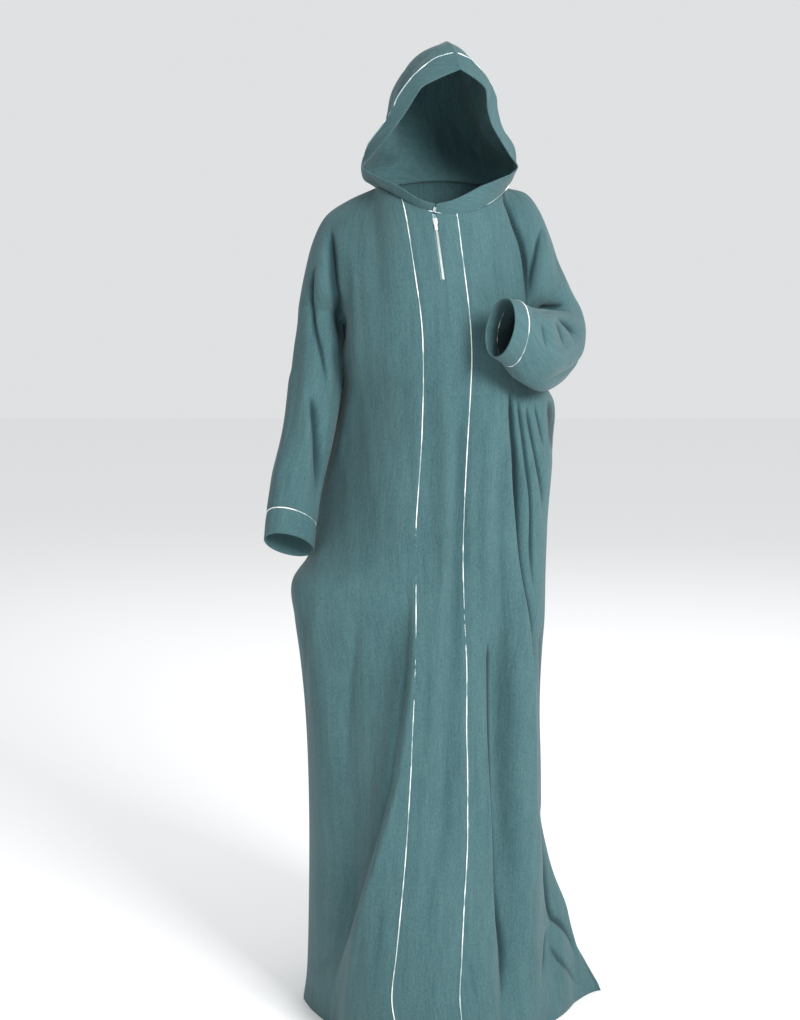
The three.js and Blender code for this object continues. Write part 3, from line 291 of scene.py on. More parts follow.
def smoothstep(x, low, high):
    t = np.clip((np.asarray(x, float) - low) / (high - low), 0, 1)
    return t * t * (3 - 2 * t)


def mix(a, b, t):
    return a + (b - a) * t


def xyz(x, y, z):
    return np.stack(np.broadcast_arrays(x, y, z), axis=-1)


def unit(v):
    return v / np.maximum(np.linalg.norm(v, axis=-1, keepdims=True), 1e-12)


section = {name: smooth_through(SECTIONS[:, 0], SECTIONS[:, i]) for i, name in enumerate(SECTION_NAMES)}


def section_point(z, angle, face):
    """A point of a level section: -90 degrees is the right side seam and 90 the left one."""
    share = (np.sign(angle) * np.abs(np.sin(angle)) ** ROUND_X + 1) / 2
    side = mix(section["right_y"](z), section["left_y"](z), share)
    power = ROUND_BACK
    if face == "front":
        power = np.where(angle < 0, section["bulge_right"](z), section["bulge_left"](z))
    y = side + (section[face](z) - side) * np.maximum(np.cos(angle), 0) ** power
    return xyz(mix(section["right"](z), section["left"](z), share), y, z)


def angle_at(z, x):
    """The angle at which a level section passes a given x."""
    right, left = section["right"](z), section["left"](z)
    across = (x - right) / (left - right) * 2 - 1
    return np.sign(across) * np.arcsin(np.abs(across) ** (1 / ROUND_X))


def neck_point(angle):
    beta = np.radians(angle)
    c = np.cos(beta)
    front = c > 0
    reach = np.where(front, NECK_FRONT, NAPE_REACH)
    rise = np.where(front, -NECK_DROP * c * c - NECK_LEAN * np.sin(2 * beta), NAPE_RISE * c * c)
    return xyz(NECK_X + NECK_HALF * np.sin(beta), NECK_Y - reach * c, NECK_Z + rise)


def ring_point(ring, theta):
    """A ring's point: 0 is the underarm, a half turn the overarm seam, and the front comes between."""
    centre, out, front = (np.asarray(v, float) for v in ring)
    theta = np.asarray(theta)[..., None]
    return centre - out * np.cos(theta) + front * np.sin(theta)


overarm = {}
for side, points in OVERARM.items():
    overarm[side] = smooth_path([ring_point(ARMHOLES[side], math.pi), *points])


def neck_run(angles):
    """The neckline between named angles, by the count of cells passed."""
    return lambda i: neck_point(np.interp(i, np.arange(len(angles)), angles))


def joined_runs(*runs):
    """Several runs of cells as one: each is (cells, function of the cells passed in it)."""

    def at(i):
        i = np.asarray(i, float)
        out = np.zeros(i.shape + (3,))
        start = 0
        for cells, run in runs:
            here = (i >= start - 1e-9) & (i <= start + cells + 1e-9)
            out[here] = run(i[here] - start)
            start += cells
        return out

    return at


def slit_angle(a, z):
    """The front centre panel's columns, which keep the slit's width between its two middle ones."""
    right, left = angle_at(z, section["seam_right"](z)), angle_at(z, section["seam_left"](z))
    half = SLIT_HALF / ((section["left"](z) - section["right"](z)) / 2)
    middle = (right + left) / 2
    i = a * 5
    first = mix(right, middle - half, np.clip(i / 2, 0, 1))
    last = mix(middle + half, left, np.clip((i - 3) / 2, 0, 1))
    return np.where(i <= 2, first, np.where(i >= 3, last, mix(middle - half, middle + half, i - 2)))


QUARTER = math.pi / 2
BACK_NECK = np.linspace(90, 270, BACK_NECK_CELLS + 1)
shoulder_up, shoulder_down = {}, {}
for side, run in overarm.items():
    shoulder_up[side] = (SHOULDER_CELLS, lambda i, run=run: run(i / SHOULDER_CELLS))
    shoulder_down[side] = (SHOULDER_CELLS, lambda i, run=run: run(1 - i / SHOULDER_CELLS))
back_neck = (BACK_NECK_CELLS, neck_run(BACK_NECK))
PANELS = {
    "front_side_right": {
        "face": "front", "cells": 10, "half": 1, "ends": ("right", None),
        "top": joined_runs(shoulder_up["right"], (4, neck_run(NECK_ANGLES["right"]))),
        "angle": lambda a, z: mix(-QUARTER, angle_at(z, section["seam_right"](z)), a),
    },
    "front_centre": {
        "face": "front", "cells": 5, "half": 1, "ends": (None, None),
        "top": joined_runs((5, neck_run(NECK_ANGLES["centre"]))),
        "angle": slit_angle,
    },
    "front_side_left": {
        "face": "front", "cells": 11, "half": 1, "ends": (None, "left"),
        "top": joined_runs((5, neck_run(NECK_ANGLES["left"])), shoulder_down["left"]),
        "angle": lambda a, z: mix(angle_at(z, section["seam_left"](z)), QUARTER, a),
    },
    "back": {
        "face": "back", "cells": 22, "half": -1, "ends": ("left", "right"),
        "top": joined_runs(shoulder_up["left"], back_neck, shoulder_down["right"]),
        "angle": lambda a, z: mix(QUARTER, -QUARTER, a),
    },
}
COLUMNS_PER_CELL = {"front_side_right": 10, "front_centre": 8, "front_side_left": 12, "back": 8}
skirt_z = np.linspace(HEM, UNDERARM, SKIRT_ROWS + 1)
bodice_w = np.sin(np.linspace(0, QUARTER, BODICE_ROWS + 1))[1:]


def panel_grid(panel, per_cell):
    """A panel's points, from the hem up and from its first column to its last."""
    i = np.linspace(0, panel["cells"], panel["cells"] * per_cell + 1)
    a = i / panel["cells"]
    skirt = section_point(skirt_z[:, None], panel["angle"](a[None, :], skirt_z[:, None]), panel["face"])
    low, high = skirt[-1], panel["top"](i)
    w = bodice_w[:, None]
    bodice = xyz(
        mix(low[:, 0], high[:, 0], w),
        high[:, 1] + (low[:, 1] - high[:, 1]) * np.sqrt(np.maximum(1 - w * w, 0)),
        mix(low[:, 2], high[:, 2], w),
    )
    for column, side in zip((0, -1), panel["ends"]):
        if side:
            move = ring_point(ARMHOLES[side], panel["half"] * math.pi * bodice_w) - bodice[:, column]
            share = 1 - smoothstep(a if column == 0 else 1 - a, 0, ARMHOLE_REACH)
            bodice += move[:, None, :] * share[None, :, None]
    return np.concatenate([skirt, bodice])


def weld(grids, wrapping=()):
    """One list of points for several grids, with the points' numbers in each, which meeting edges share."""
    numbers, edges, start = {}, [], 0
    for name, grid in grids.items():
        rows, columns = grid.shape[:2]
        numbers[name] = np.arange(start, start + rows * columns).reshape(rows, columns)
        start += rows * columns
        edge = np.zeros((rows, columns), bool)
        edge[[0, -1]] = True
        if name not in wrapping:
            edge[:, [0, -1]] = True
        edges += [(name, r, c) for r, c in np.argwhere(edge)]
    points = np.concatenate([grid.reshape(-1, 3) for grid in grids.values()])
    tree = KDTree(len(edges))
    for k, (name, r, c) in enumerate(edges):
        tree.insert(grids[name][r, c], k)
    tree.balance()
    own = {name: grid.copy() for name, grid in numbers.items()}
    for name, r, c in edges:
        found = tree.find_range(grids[name][r, c], WELD_WITHIN)
        numbers[name][r, c] = min(own[edges[k][0]][edges[k][1], edges[k][2]] for _, k, _ in found)
    return points, numbers


def looped(grid, wraps):
    """A grid with its first column again after the last, where it goes all round."""
    return np.concatenate([grid, grid[:, :1]], axis=1) if wraps else grid


def point_normals(points, numbers, wrapping=()):
    """The normal at each point, from all the cells that meet there."""
    out = np.zeros_like(points)
    for name, grid in numbers.items():
        grid = looped(grid, name in wrapping)
        at = points[grid]
        cells = np.cross(at[1:, 1:] - at[:-1, :-1], at[1:, :-1] - at[:-1, 1:])
        for rows in (slice(None, -1), slice(1, None)):
            for columns in (slice(None, -1), slice(1, None)):
                np.add.at(out, grid[rows, columns].ravel(), cells.reshape(-1, 3))
    return unit(out)


def relaxed(values, numbers, wrapping, weight, rounds):
    """Values drawn towards the mean of their neighbours, as far as each point's weight says."""
    ends = []
    for name, grid in numbers.items():
        grid = looped(grid, name in wrapping)
        ends.append(np.stack([grid[:, :-1].ravel(), grid[:, 1:].ravel()]))
        ends.append(np.stack([grid[:-1].ravel(), grid[1:].ravel()]))
    first, second = np.concatenate(ends, axis=1)
    used = (weight[first] > 0) | (weight[second] > 0)
    first, second = first[used], second[used]
    count = np.maximum(np.bincount(np.concatenate([first, second]), minlength=len(values)), 1)
    shape = (-1,) + (1,) * (values.ndim - 1)
    for _ in range(rounds):
        total = np.zeros_like(values)
        np.add.at(total, first, values[second])
        np.add.at(total, second, values[first])
        values = values + 0.5 * weight.reshape(shape) * (total / count.reshape(shape) - values)
    return values


def crease(u, v, path, wide_plus, wide_minus, depth, fade, sharp=1.8):
    """How far a fold moves each point of a chart. Its path runs down the chart, towards -v."""
    line = smooth_path(path)(np.linspace(0, 1, FOLD_STEPS)) if len(path) > 2 else np.asarray(path, float)
    length = np.linalg.norm(np.diff(line, axis=0), axis=1).sum()
    out = np.zeros(np.shape(u))
    room = FOLD_REACH * max(wide_plus, wide_minus)
    near = (u > line[:, 0].min() - room) & (u < line[:, 0].max() + room)
    near &= (v > line[:, 1].min() - room) & (v < line[:, 1].max() + room)
    u, v = u[near], v[near]
    best = np.full(u.shape, np.inf)
    reach, along = np.ones(u.shape), np.zeros(u.shape)
    passed = 0
    for start, end in zip(line[:-1], line[1:]):
        du, dv = end - start
        size = math.hypot(du, dv)
        t = np.clip(((u - start[0]) * du + (v - start[1]) * dv) / size**2, 0, 1)
        off_u, off_v = u - start[0] - t * du, v - start[1] - t * dv
        away = np.hypot(off_u, off_v)
        closer = away < best
        best = np.where(closer, away, best)
        reach = np.where(closer, np.where(du * off_v - dv * off_u > 0, wide_plus, wide_minus), reach)
        along = np.where(closer, passed + t * size, along)
        passed += size
    fade = min(fade, length / 3)
    ends = smoothstep(along, 0, fade) * smoothstep(length - along, 0, min(FADE_OUT * fade, length / 2))
    out[near] = depth * ends * np.exp(-((best / reach) ** sharp))
    return out


def ripple(u, v):
    """Slight unevenness of hanging cloth: soft waves that run down it, a millimetre or so high."""
    drift = 9 * np.sin(v / WANDER + 0.7) + 5 * np.sin(v / (0.43 * WANDER) + u / 90)
    a = np.sin((u + drift) / WAVE * 2 * math.pi * 0.61 + 0.4)
    b = np.sin((u - 0.7 * drift) / WAVE * 2 * math.pi * 0.27 + 1.9)
    c = np.sin((u + 1.4 * drift) / WAVE * 2 * math.pi + v / 61)
    return 0.45 * a + 0.8 * b + 0.22 * c


def across_distance(grid, from_last=False):
    """The length passed along each row, from its first column or from its last."""
    steps = np.linalg.norm(np.diff(grid, axis=1), axis=2)
    total = np.concatenate([np.zeros((len(grid), 1)), np.cumsum(steps, axis=1)], axis=1)
    return total[:, -1:] - total if from_last else total


SIDE_SHARE = 0.1  # share of a panel, from its side seam, over which its folds rise
SEAM_SUNK = 0.8  # how deep the stitches of a long seam draw the cloth in, and how wide
SEAM_WIDE = 4.0
body = {name: panel_grid(panel, COLUMNS_PER_CELL[name]) for name, panel in PANELS.items()}

# Sleeves and cuffs
# Two tapering tubes of the same crepe, each cut in one piece with its seam under the arm and sewn to the
# body at a dropped shoulder, with a turned-back band at the wrist. The right one hangs a little in front of
# the side with its cuff over the drawn-back skirt, and the left one is bent up at the elbow.

# Rings down each sleeve: the share of its length, its centre, and half-sizes towards the outer arm and the
# front.
SLEEVES = {
    "right": [
        (0, *ARMHOLES["right"]),
        (0.25, (-200, -12, -290), (-43, 0, 6), (0, -48, 8)),
        (0.5, (-215, -30, -392), (-42, 0, 8), (-2, -44, 14)),
        (0.74, (-235, -48, -480), (-41, -4, 10), (-2, -37, 20)),
        (0.9, (-244, -58, -542), (-41, -5, 9), (-2, -32, 23)),
        (1, (-247, -64, -576), (-41, -6, 8), (-2, -29, 22)),
    ],
    "left": [
        (0, *ARMHOLES["left"]),
        (0.2, (205, 22, -206), (38, 4, 14), (-8, -44, 14)),
        (0.42, (205, -16, -236), (38, -10, -2), (-10, -26, 48)),
        (0.66, (162, -120, -250), (30, -26, -4), (-2, -6, 64)),
        (0.8, (133, -160, -240), (26, -24, -4), (6, -6, 60)),
        (0.88, (114, -182, -224), (23, -22, -5), (8, -6, 52)),
        (1, (93, -204, -214), (20, -22, -5), (10, -6, 46)),
    ],
}
CUFF_FROM = 0.88
SLEEVE_ROWS = 96
CUFF_ROWS = 12
SLEEVE_LENGTH = {"right": 400.0, "left": 330.0}  # down the middle, with the cuff
SLEEVE_ROUND = 45.0  # a sleeve's usual half-width, which turns an angle into a length round it

# Folds on the hidden sides of a sleeve: a path of (angle round from the underarm in degrees, share of the
# length), the widths each way, the height, and how sharp.
SLEEVE_FOLDS = {
    "right": [
        ([(196, 0.0), (215, 0.35), (222, 0.8)], 7, 9, -7, 1.3),
        ([(232, 0.0), (240, 0.4), (246, 0.86)], 9, 9, 4, 1.8),
        ([(268, 0.0), (256, 0.4), (266, 0.84)], 6, 9, -8, 1.2),
        ([(318, 0.05), (300, 0.45), (304, 0.86)], 7, 9, -6, 1.3),
        ([(178, 0.25), (186, 0.5), (190, 0.84)], 8, 8, 3, 1.8),
    ],
    "left": [
        ([(196, 0.0), (216, 0.3), (230, 0.8)], 6, 8, -7, 1.3),
        ([(250, 0.0), (256, 0.4), (262, 0.84)], 8, 8, 4, 1.8),
        ([(286, 0.04), (276, 0.34), (272, 0.5)], 5, 6, -8, 1.1),
        ([(318, 0.06), (300, 0.4), (306, 0.84)], 6, 8, -7, 1.2),
        ([(232, 0.34), (252, 0.42), (290, 0.44)], 5, 5, -6, 1.2),
        ([(20, 0.5), (8, 0.66), (4, 0.84)], 6, 7, -5, 1.3),
        ([(74, 0.62), (70, 0.74), (68, 0.86)], 6, 7, 2.5, 1.8),
    ],
}
SLEEVE_FADE = 26  # the stretch over which a hidden fold of a sleeve begins
RING_SMOOTH = (10, 62)  # how near the armhole seams the cloth is smoothed, fully and at all
RING_ROUNDS = 110
BODICE_SMOOTH_DOWN = 60  # how far below the underarm the smoothing reaches
SLIT_CLEAR = 10  # rows above the skirt from which the cloth round the slit keeps its place
BODICE_SMOOTH_TOP = 0.06  # share of the bodice's rows, from its top edge, that keep their place
RING_SUNK = 0.25  # how deep the armhole seams lie
FOLD_BLEND = 12  # how near them the folds of body and sleeve blend
SOFT_TONE = 26  # height in millimetres of a soft fold that fully paints light on its ridge or shade in its trough
CREASE_BELOW = 1.35  # folds sharper than this are creases
CREASE_DEPTH = (1.5, 8.5)  # depths at which a crease starts to paint shade on the cloth, and paints it darkest
FRONT_FACING = (0.05, 0.45)  # how much a point of a sleeve faces the front, at which its folds begin and end
SOFT_LIMIT = 0.32  # the most painted light or shade that a soft fold gives the cloth
SEAM_TOP_CELLS = 3  # rows of cells below the neck over which the long seams sink in
SIDE_FREE = 0.1  # share of the bodice above which the front's folds reach the armhole
RIPPLE_TOP = 0.3  # shares of the bodice, from the shoulders down, over which ripples and folds rise
FOLD_TOP = 0.12
SLEEVE_RISE = 0.07  # share of a sleeve over which its hidden folds rise
SLEEVE_WAVE_HIGH = 0.8
SLEEVE_WAVES = 6  # round the sleeve
SLEEVE_WAVE_TURN = 9  # radians by which they turn down its length
CUFF_STIFF = 0.75  # share of a fold's depth that the doubled cuff takes away
CUFF_STIFF_FROM = 0.03  # share of the sleeve above the cuff from which it does
CUFF_SEAM_SUNK = 0.7

both_halves = np.concatenate([[0], bodice_w])
ring_turns = np.concatenate([math.pi * both_halves, 2 * math.pi - math.pi * both_halves[1:-1][::-1]])
even_turns = np.linspace(0, 2 * math.pi, len(ring_turns), endpoint=False)
RING_SETTLES = 0.14  # share of the sleeve over which its columns become even


def sleeve_grid(side, start, end, rows):
    """A sleeve's rings between two shares of its length, turned so that its faces point out."""
    table = SLEEVES[side]
    at = np.linspace(start, end, rows + 1)
    keys = [row[0] for row in table]
    centre, out, front = (smooth_through(keys, [row[k] for row in table])(at)[:, None] for k in (1, 2, 3))
    settled = smoothstep(at, 0, RING_SETTLES)[:, None]
    theta = mix(ring_turns[None], even_turns[None], settled)
    cos, sin = np.cos(theta)[..., None], np.sin(theta)[..., None]
    grid = centre - out * cos + front * sin
    if side == "left":
        grid, theta = (np.concatenate([v[:, :1], v[:, :0:-1]], axis=1) for v in (grid, theta))
    return grid, np.degrees(theta), np.broadcast_to(at[:, None], theta.shape)


sleeve_charts = {}
for side in ("right", "left"):
    for part, start, end, rows in (("sleeve", 0, CUFF_FROM, SLEEVE_ROWS), ("cuff", CUFF_FROM, 1, CUFF_ROWS)):
        name = f"{part}_{side}"
        body[name], *sleeve_charts[name] = sleeve_grid(side, start, end, rows)
TUBES = tuple(sleeve_charts)
cloth, numbers = weld(body, TUBES)
ring_distance = np.full(len(cloth), np.inf)
for side in ("right", "left"):
    for point in cloth[numbers[f"sleeve_{side}"][0, ::2]]:
        ring_distance = np.minimum(ring_distance, np.linalg.norm(cloth - point, axis=1))
near_ring = 1 - smoothstep(ring_distance, *RING_SMOOTH)
near_bodice = np.zeros(len(cloth))
for name in PANELS:
    low = smoothstep(skirt_z, UNDERARM - BODICE_SMOOTH_DOWN, UNDERARM)
    rise = np.concatenate([low, smoothstep(1 - bodice_w, 0, BODICE_SMOOTH_TOP)])
    near_bodice[numbers[name]] = np.maximum(near_bodice[numbers[name]], rise[:, None])
for name in PANELS:
    top = numbers[name][-1]
    near_bodice[top] = near_ring[top] = 0
slit_columns = slice(2 * COLUMNS_PER_CELL["front_centre"], 3 * COLUMNS_PER_CELL["front_centre"] + 1)
near_bodice[numbers["front_centre"][SKIRT_ROWS + SLIT_CLEAR:, slit_columns]] = 0
cloth = relaxed(cloth, numbers, TUBES, np.maximum(near_ring, near_bodice), RING_ROUNDS)
normals = point_normals(cloth, numbers, TUBES)
# shade: painted shade of the folds, above 0, and their painted light, below 0, for the cloth's colour
depth_sum, depth_count, shade = (np.zeros(len(cloth)) for _ in range(3))


def fine_depth(folds, letter, x, z, crease_fade):
    """The folds of a table that run over one group of pieces, and the painted shade and painted light that
    they give the points.
    """
    out, deep, soft = (np.zeros(x.shape) for _ in range(3))
    for groups, path, plus, minus, height, sharp in folds:
        if letter in groups:
            fade = crease_fade if sharp < CREASE_BELOW else SOFT_FADE
            fold = crease(x, z, path, plus, minus, height, fade, sharp)
            out += fold
            # a deep crease paints shade; another fold paints shade in its trough and light on its ridge
            if height < 0 and sharp < CREASE_BELOW:
                deep = np.maximum(deep, smoothstep(-fold, *CREASE_DEPTH))
            else:
                soft -= fold / SOFT_TONE
    return out, np.where(deep > soft, deep, np.clip(soft, -SOFT_LIMIT, SOFT_LIMIT))


def shaded(name, tone, weight):
    """Keeps the stronger of the painted shades and lights that the pieces at a seam give a point."""
    before = shade[numbers[name]]
    shade[numbers[name]] = np.where(np.abs(tone) > np.abs(before), tone * weight, before)


for name, panel in PANELS.items():
    grid = cloth[numbers[name]]
    x, z = grid[..., 0], grid[..., 2]
    a = np.linspace(0, 1, grid.shape[1])[None, :]
    w = np.concatenate([np.zeros(SKIRT_ROWS + 1), bodice_w])[:, None]
    near_top = smoothstep(BODICE_CELLS * (1 - w), 0, SEAM_TOP_CELLS)
    near_side = np.ones(grid.shape[:2])
    for share, side in ((a, panel["ends"][0]), (1 - a, panel["ends"][1])):
        if side:
            near_side = near_side * smoothstep(share, 0, SIDE_SHARE)
    large, fine, crease_fade = BACK_FOLDS, FINE_BACK_FOLDS, BACK_FADE
    if panel["face"] == "front":
        near_side = mix(near_side, 1, smoothstep(w, 0, SIDE_FREE))
        large, fine, crease_fade = FRONT_FOLDS, FINE_FRONT_FOLDS, FINE_FADE
    depth = np.zeros(grid.shape[:2])
    for (start, end), plus, minus, height in large:
        along = (start[1] - z) / (start[1] - end[1])
        off = x - mix(start[0], end[0], along)
        fade = smoothstep(start[1] - z, 0, FOLD_FADE) * smoothstep(z - end[1], 0, FOLD_FADE)
        depth += height * fade * np.exp(-((off / np.where(off < 0, minus, plus)) ** 2))
    # painted shade and painted light of the fine folds, fading towards the side seams
    fine_folds, tone = fine_depth(fine, "b", x, z, crease_fade)
    shaded(name, tone, near_side)
    depth += fine_folds
    depth += ripple(x, z) * smoothstep(1 - w, 0, RIPPLE_TOP)
    depth *= near_side * smoothstep(1 - w, 0, FOLD_TOP)
    seam = np.zeros(grid.shape[:2])
    for distance in (across_distance(grid), across_distance(grid, True)):
        seam += np.exp(-((distance / SEAM_WIDE) ** 2))
    depth -= SEAM_SUNK * seam * near_top
    np.add.at(depth_sum, numbers[name].ravel(), depth.ravel())
    np.add.at(depth_count, numbers[name].ravel(), 1)

for name in TUBES:
    side = name.split("_")[1]
    grid = cloth[numbers[name]]
    theta, at = sleeve_charts[name]
    v = -at * SLEEVE_LENGTH[side]
    facing = smoothstep(-normals[numbers[name]][..., 1], *FRONT_FACING)
    # painted shade and painted light of the fine folds, on the sleeve's front
    depth, tone = fine_depth(FINE_FRONT_FOLDS, side[0], grid[..., 0], grid[..., 2], FINE_FADE)
    shaded(name, tone, facing)
    depth *= facing
    away_from_ring = smoothstep(at, 0, SLEEVE_RISE)
    for path, plus, minus, height, sharp in SLEEVE_FOLDS[side]:
        middle = np.mean([p[0] for p in path])
        turned = (theta - middle + 180) % 360 - 180 + middle
        chart_path = [(np.radians(t) * SLEEVE_ROUND, -s * SLEEVE_LENGTH[side]) for t, s in path]
        u = np.radians(turned) * SLEEVE_ROUND
        depth += crease(u, v, chart_path, plus, minus, height, SLEEVE_FADE, sharp) * away_from_ring
    waves = np.sin(SLEEVE_WAVES * np.radians(theta) + at * SLEEVE_WAVE_TURN)
    depth += SLEEVE_WAVE_HIGH * waves * smoothstep(at, 0.02, 0.2)
    depth *= 1 - CUFF_STIFF * smoothstep(at, CUFF_FROM - CUFF_STIFF_FROM, CUFF_FROM)
    depth -= CUFF_SEAM_SUNK * np.exp(-(((at - CUFF_FROM) * SLEEVE_LENGTH[side] / SEAM_WIDE) ** 2))
    np.add.at(depth_sum, numbers[name].ravel(), depth.ravel())
    np.add.at(depth_count, numbers[name].ravel(), 1)

seam_blend = 1 - smoothstep(ring_distance, 2, FOLD_BLEND)
depth = relaxed(depth_sum / np.maximum(depth_count, 1), numbers, TUBES, seam_blend, 3)
depth -= RING_SUNK * np.exp(-((ring_distance / SEAM_WIDE) ** 2))
cloth = cloth + normals * depth[:, None]
normals = point_normals(cloth, numbers, TUBES)
body = {name: cloth[grid] for name, grid in numbers.items()}
final_normals = {name: normals[grid] for name, grid in numbers.items()}


def cloth_piece(name, grid, wraps=False, middle=0.0, skip=None, thick=THICK, free_row=None, fold=None):
    """A sheet on a grid of points, with a map in metres along and across its grain, and a wall inwards.
    Its edges are sharp where it is sewn, and soft along its free row, where it is turned in. The painted
    shade and painted light of its folds go into an attribute, which its material reads."""
    rows, columns = grid.shape[:2]
    closed = looped(grid, wraps)
    across = across_distance(closed)
    across = across - across[:, -1:] * middle
    steps = np.linalg.norm(np.diff(closed, axis=0), axis=2)
    along = np.concatenate([np.zeros((1, closed.shape[1])), np.cumsum(steps, axis=0)])
    grain = np.stack([across, along], axis=-1) * MM
    faces, corners = [], []
    for r in range(rows - 1):
        for c in range(columns if wraps else columns - 1):
            if skip is not None and skip(r, c):
                continue
            d = (c + 1) % columns
            faces.append((r * columns + c, r * columns + d, (r + 1) * columns + d, (r + 1) * columns + c))
            corners += [(r, c), (r, c + 1), (r + 1, c + 1), (r + 1, c)]
    mesh = bpy.data.meshes.new(name)
    mesh.from_pydata((grid.reshape(-1, 3) * MM).tolist(), [], faces)
    corners = np.array(corners)
    mesh.uv_layers.new(name="cloth").data.foreach_set("uv", grain[corners[:, 0], corners[:, 1]].ravel())
    mesh.polygons.foreach_set("use_smooth", [True] * len(faces))
    # the attribute holds the painted shade and painted light of the folds
    if fold is not None:
        mesh.attributes.new("fold", "FLOAT", "POINT").data.foreach_set("value", fold.ravel())
    piece = bpy.data.objects.new(name, mesh)
    bpy.context.scene.collection.objects.link(piece)
    if skip is not None:
        bm = bmesh.new()
        bm.from_mesh(mesh)
        bmesh.ops.delete(bm, geom=[v for v in bm.verts if not v.link_faces], context="VERTS")
        bm.to_mesh(mesh)
        bm.free()
    uses = {}
    for polygon in mesh.polygons:
        for key in polygon.edge_keys:
            uses[key] = uses.get(key, 0) + 1
    for edge in mesh.edges:
        on_free = free_row is not None and all(v // columns == free_row for v in edge.vertices)
        edge.use_edge_sharp = uses[edge.key] == 1 and not on_free
    wall = piece.modifiers.new("wall", "SOLIDIFY")
    wall.thickness = thick * MM
    wall.offset = -1
    wall.use_rim = True
    return piece


def cut_size(grid, wraps=False):
    """The flat cut: its greatest width and length, and its area, in metres."""
    closed = looped(grid, wraps)
    width = np.linalg.norm(np.diff(closed, axis=1), axis=2).sum(axis=1).max()
    length = np.linalg.norm(np.diff(closed, axis=0), axis=2).sum(axis=0).max()
    a = np.cross(closed[1:, 1:] - closed[:-1, :-1], closed[1:, :-1] - closed[:-1, 1:])
    area = np.linalg.norm(a, axis=2).sum() / 2
    return (width * MM, length * MM), area * MM * MM


class Wire:
    """A socket of a material, on which arithmetic adds Math nodes."""

    def __init__(self, look, socket):
        self.look = look
        self.socket = socket

    def math(self, operation, a, b):
        return self.look.node("ShaderNodeMath", {"operation": operation}, {0: a, 1: b})

    def __add__(self, other):
        return self.math("ADD", self, other)

    def __radd__(self, other):
        return self.math("ADD", other, self)

    def __sub__(self, other):
        return self.math("SUBTRACT", self, other)

    def __rsub__(self, other):
        return self.math("SUBTRACT", other, self)

    def __mul__(self, other):
        return self.math("MULTIPLY", self, other)

    def __rmul__(self, other):
        return self.math("MULTIPLY", other, self)


class Look:
    """A material, and the one way in which nodes are added to it."""

    def __init__(self, name, **constants):
        self.material = bpy.data.materials.new(name)
        self.material.use_nodes = True
        self.tree = self.material.node_tree
        self.surface = self.tree.nodes["Principled BSDF"]
        for socket, value in constants.items():
            self.surface.inputs[socket.replace("_", " ")].default_value = value

    def node(self, kind, settings=None, sockets=None, output=0, stops=None):
        node = self.tree.nodes.new(kind)
        for name, value in (settings or {}).items():
            setattr(node, name, value)
        if stops:
            ramp = node.color_ramp
            while len(ramp.elements) < len(stops):
                ramp.elements.new(1.0)
            for element, (place, grey) in zip(ramp.elements, stops):
                element.position = place
                element.color = (grey, grey, grey, 1)
        for key, value in (sockets or {}).items():
            self.put(node.inputs[key], value)
        return Wire(self, node.outputs[output])

    def put(self, socket, value):
        if isinstance(value, Wire):
            self.tree.links.new(value.socket, socket)
        else:
            socket.default_value = value

    def feed(self, name, value):
        self.put(self.surface.inputs[name], value)

    def scaled(self, vector, x, y, z=1.0):
        """A vector stretched on each axis."""
        return self.node("ShaderNodeVectorMath", {"operation": "MULTIPLY"}, {0: vector, 1: (x, y, z)})

    def noise(self, vector, detail=3.0, roughness=0.55, distortion=0.0):
        sockets = {"Vector": vector, "Scale": 1.0, "Detail": detail, "Roughness": roughness}
        return self.node("ShaderNodeTexNoise", {}, {**sockets, "Distortion": distortion})

    def blend(self, factor, first, second):
        """Between two colours."""
        ends = {0: factor, 6: first, 7: second}
        return self.node("ShaderNodeMix", {"data_type": "RGBA"}, ends, output=2)


# The crepe's dark and light ends carry random tone, painted shade in hollows and folds and painted light on
# soft ridges; the third colour is painted shade for deep creases.
DARK_TONE_AND_SHADE_TEAL = (0.026, 0.072, 0.081, 1)
LIGHT_TONE_AND_PAINTED_LIGHT_TEAL = (0.071, 0.146, 0.155, 1)
CREASE_SHADE_TEAL = (0.006, 0.022, 0.027, 1)


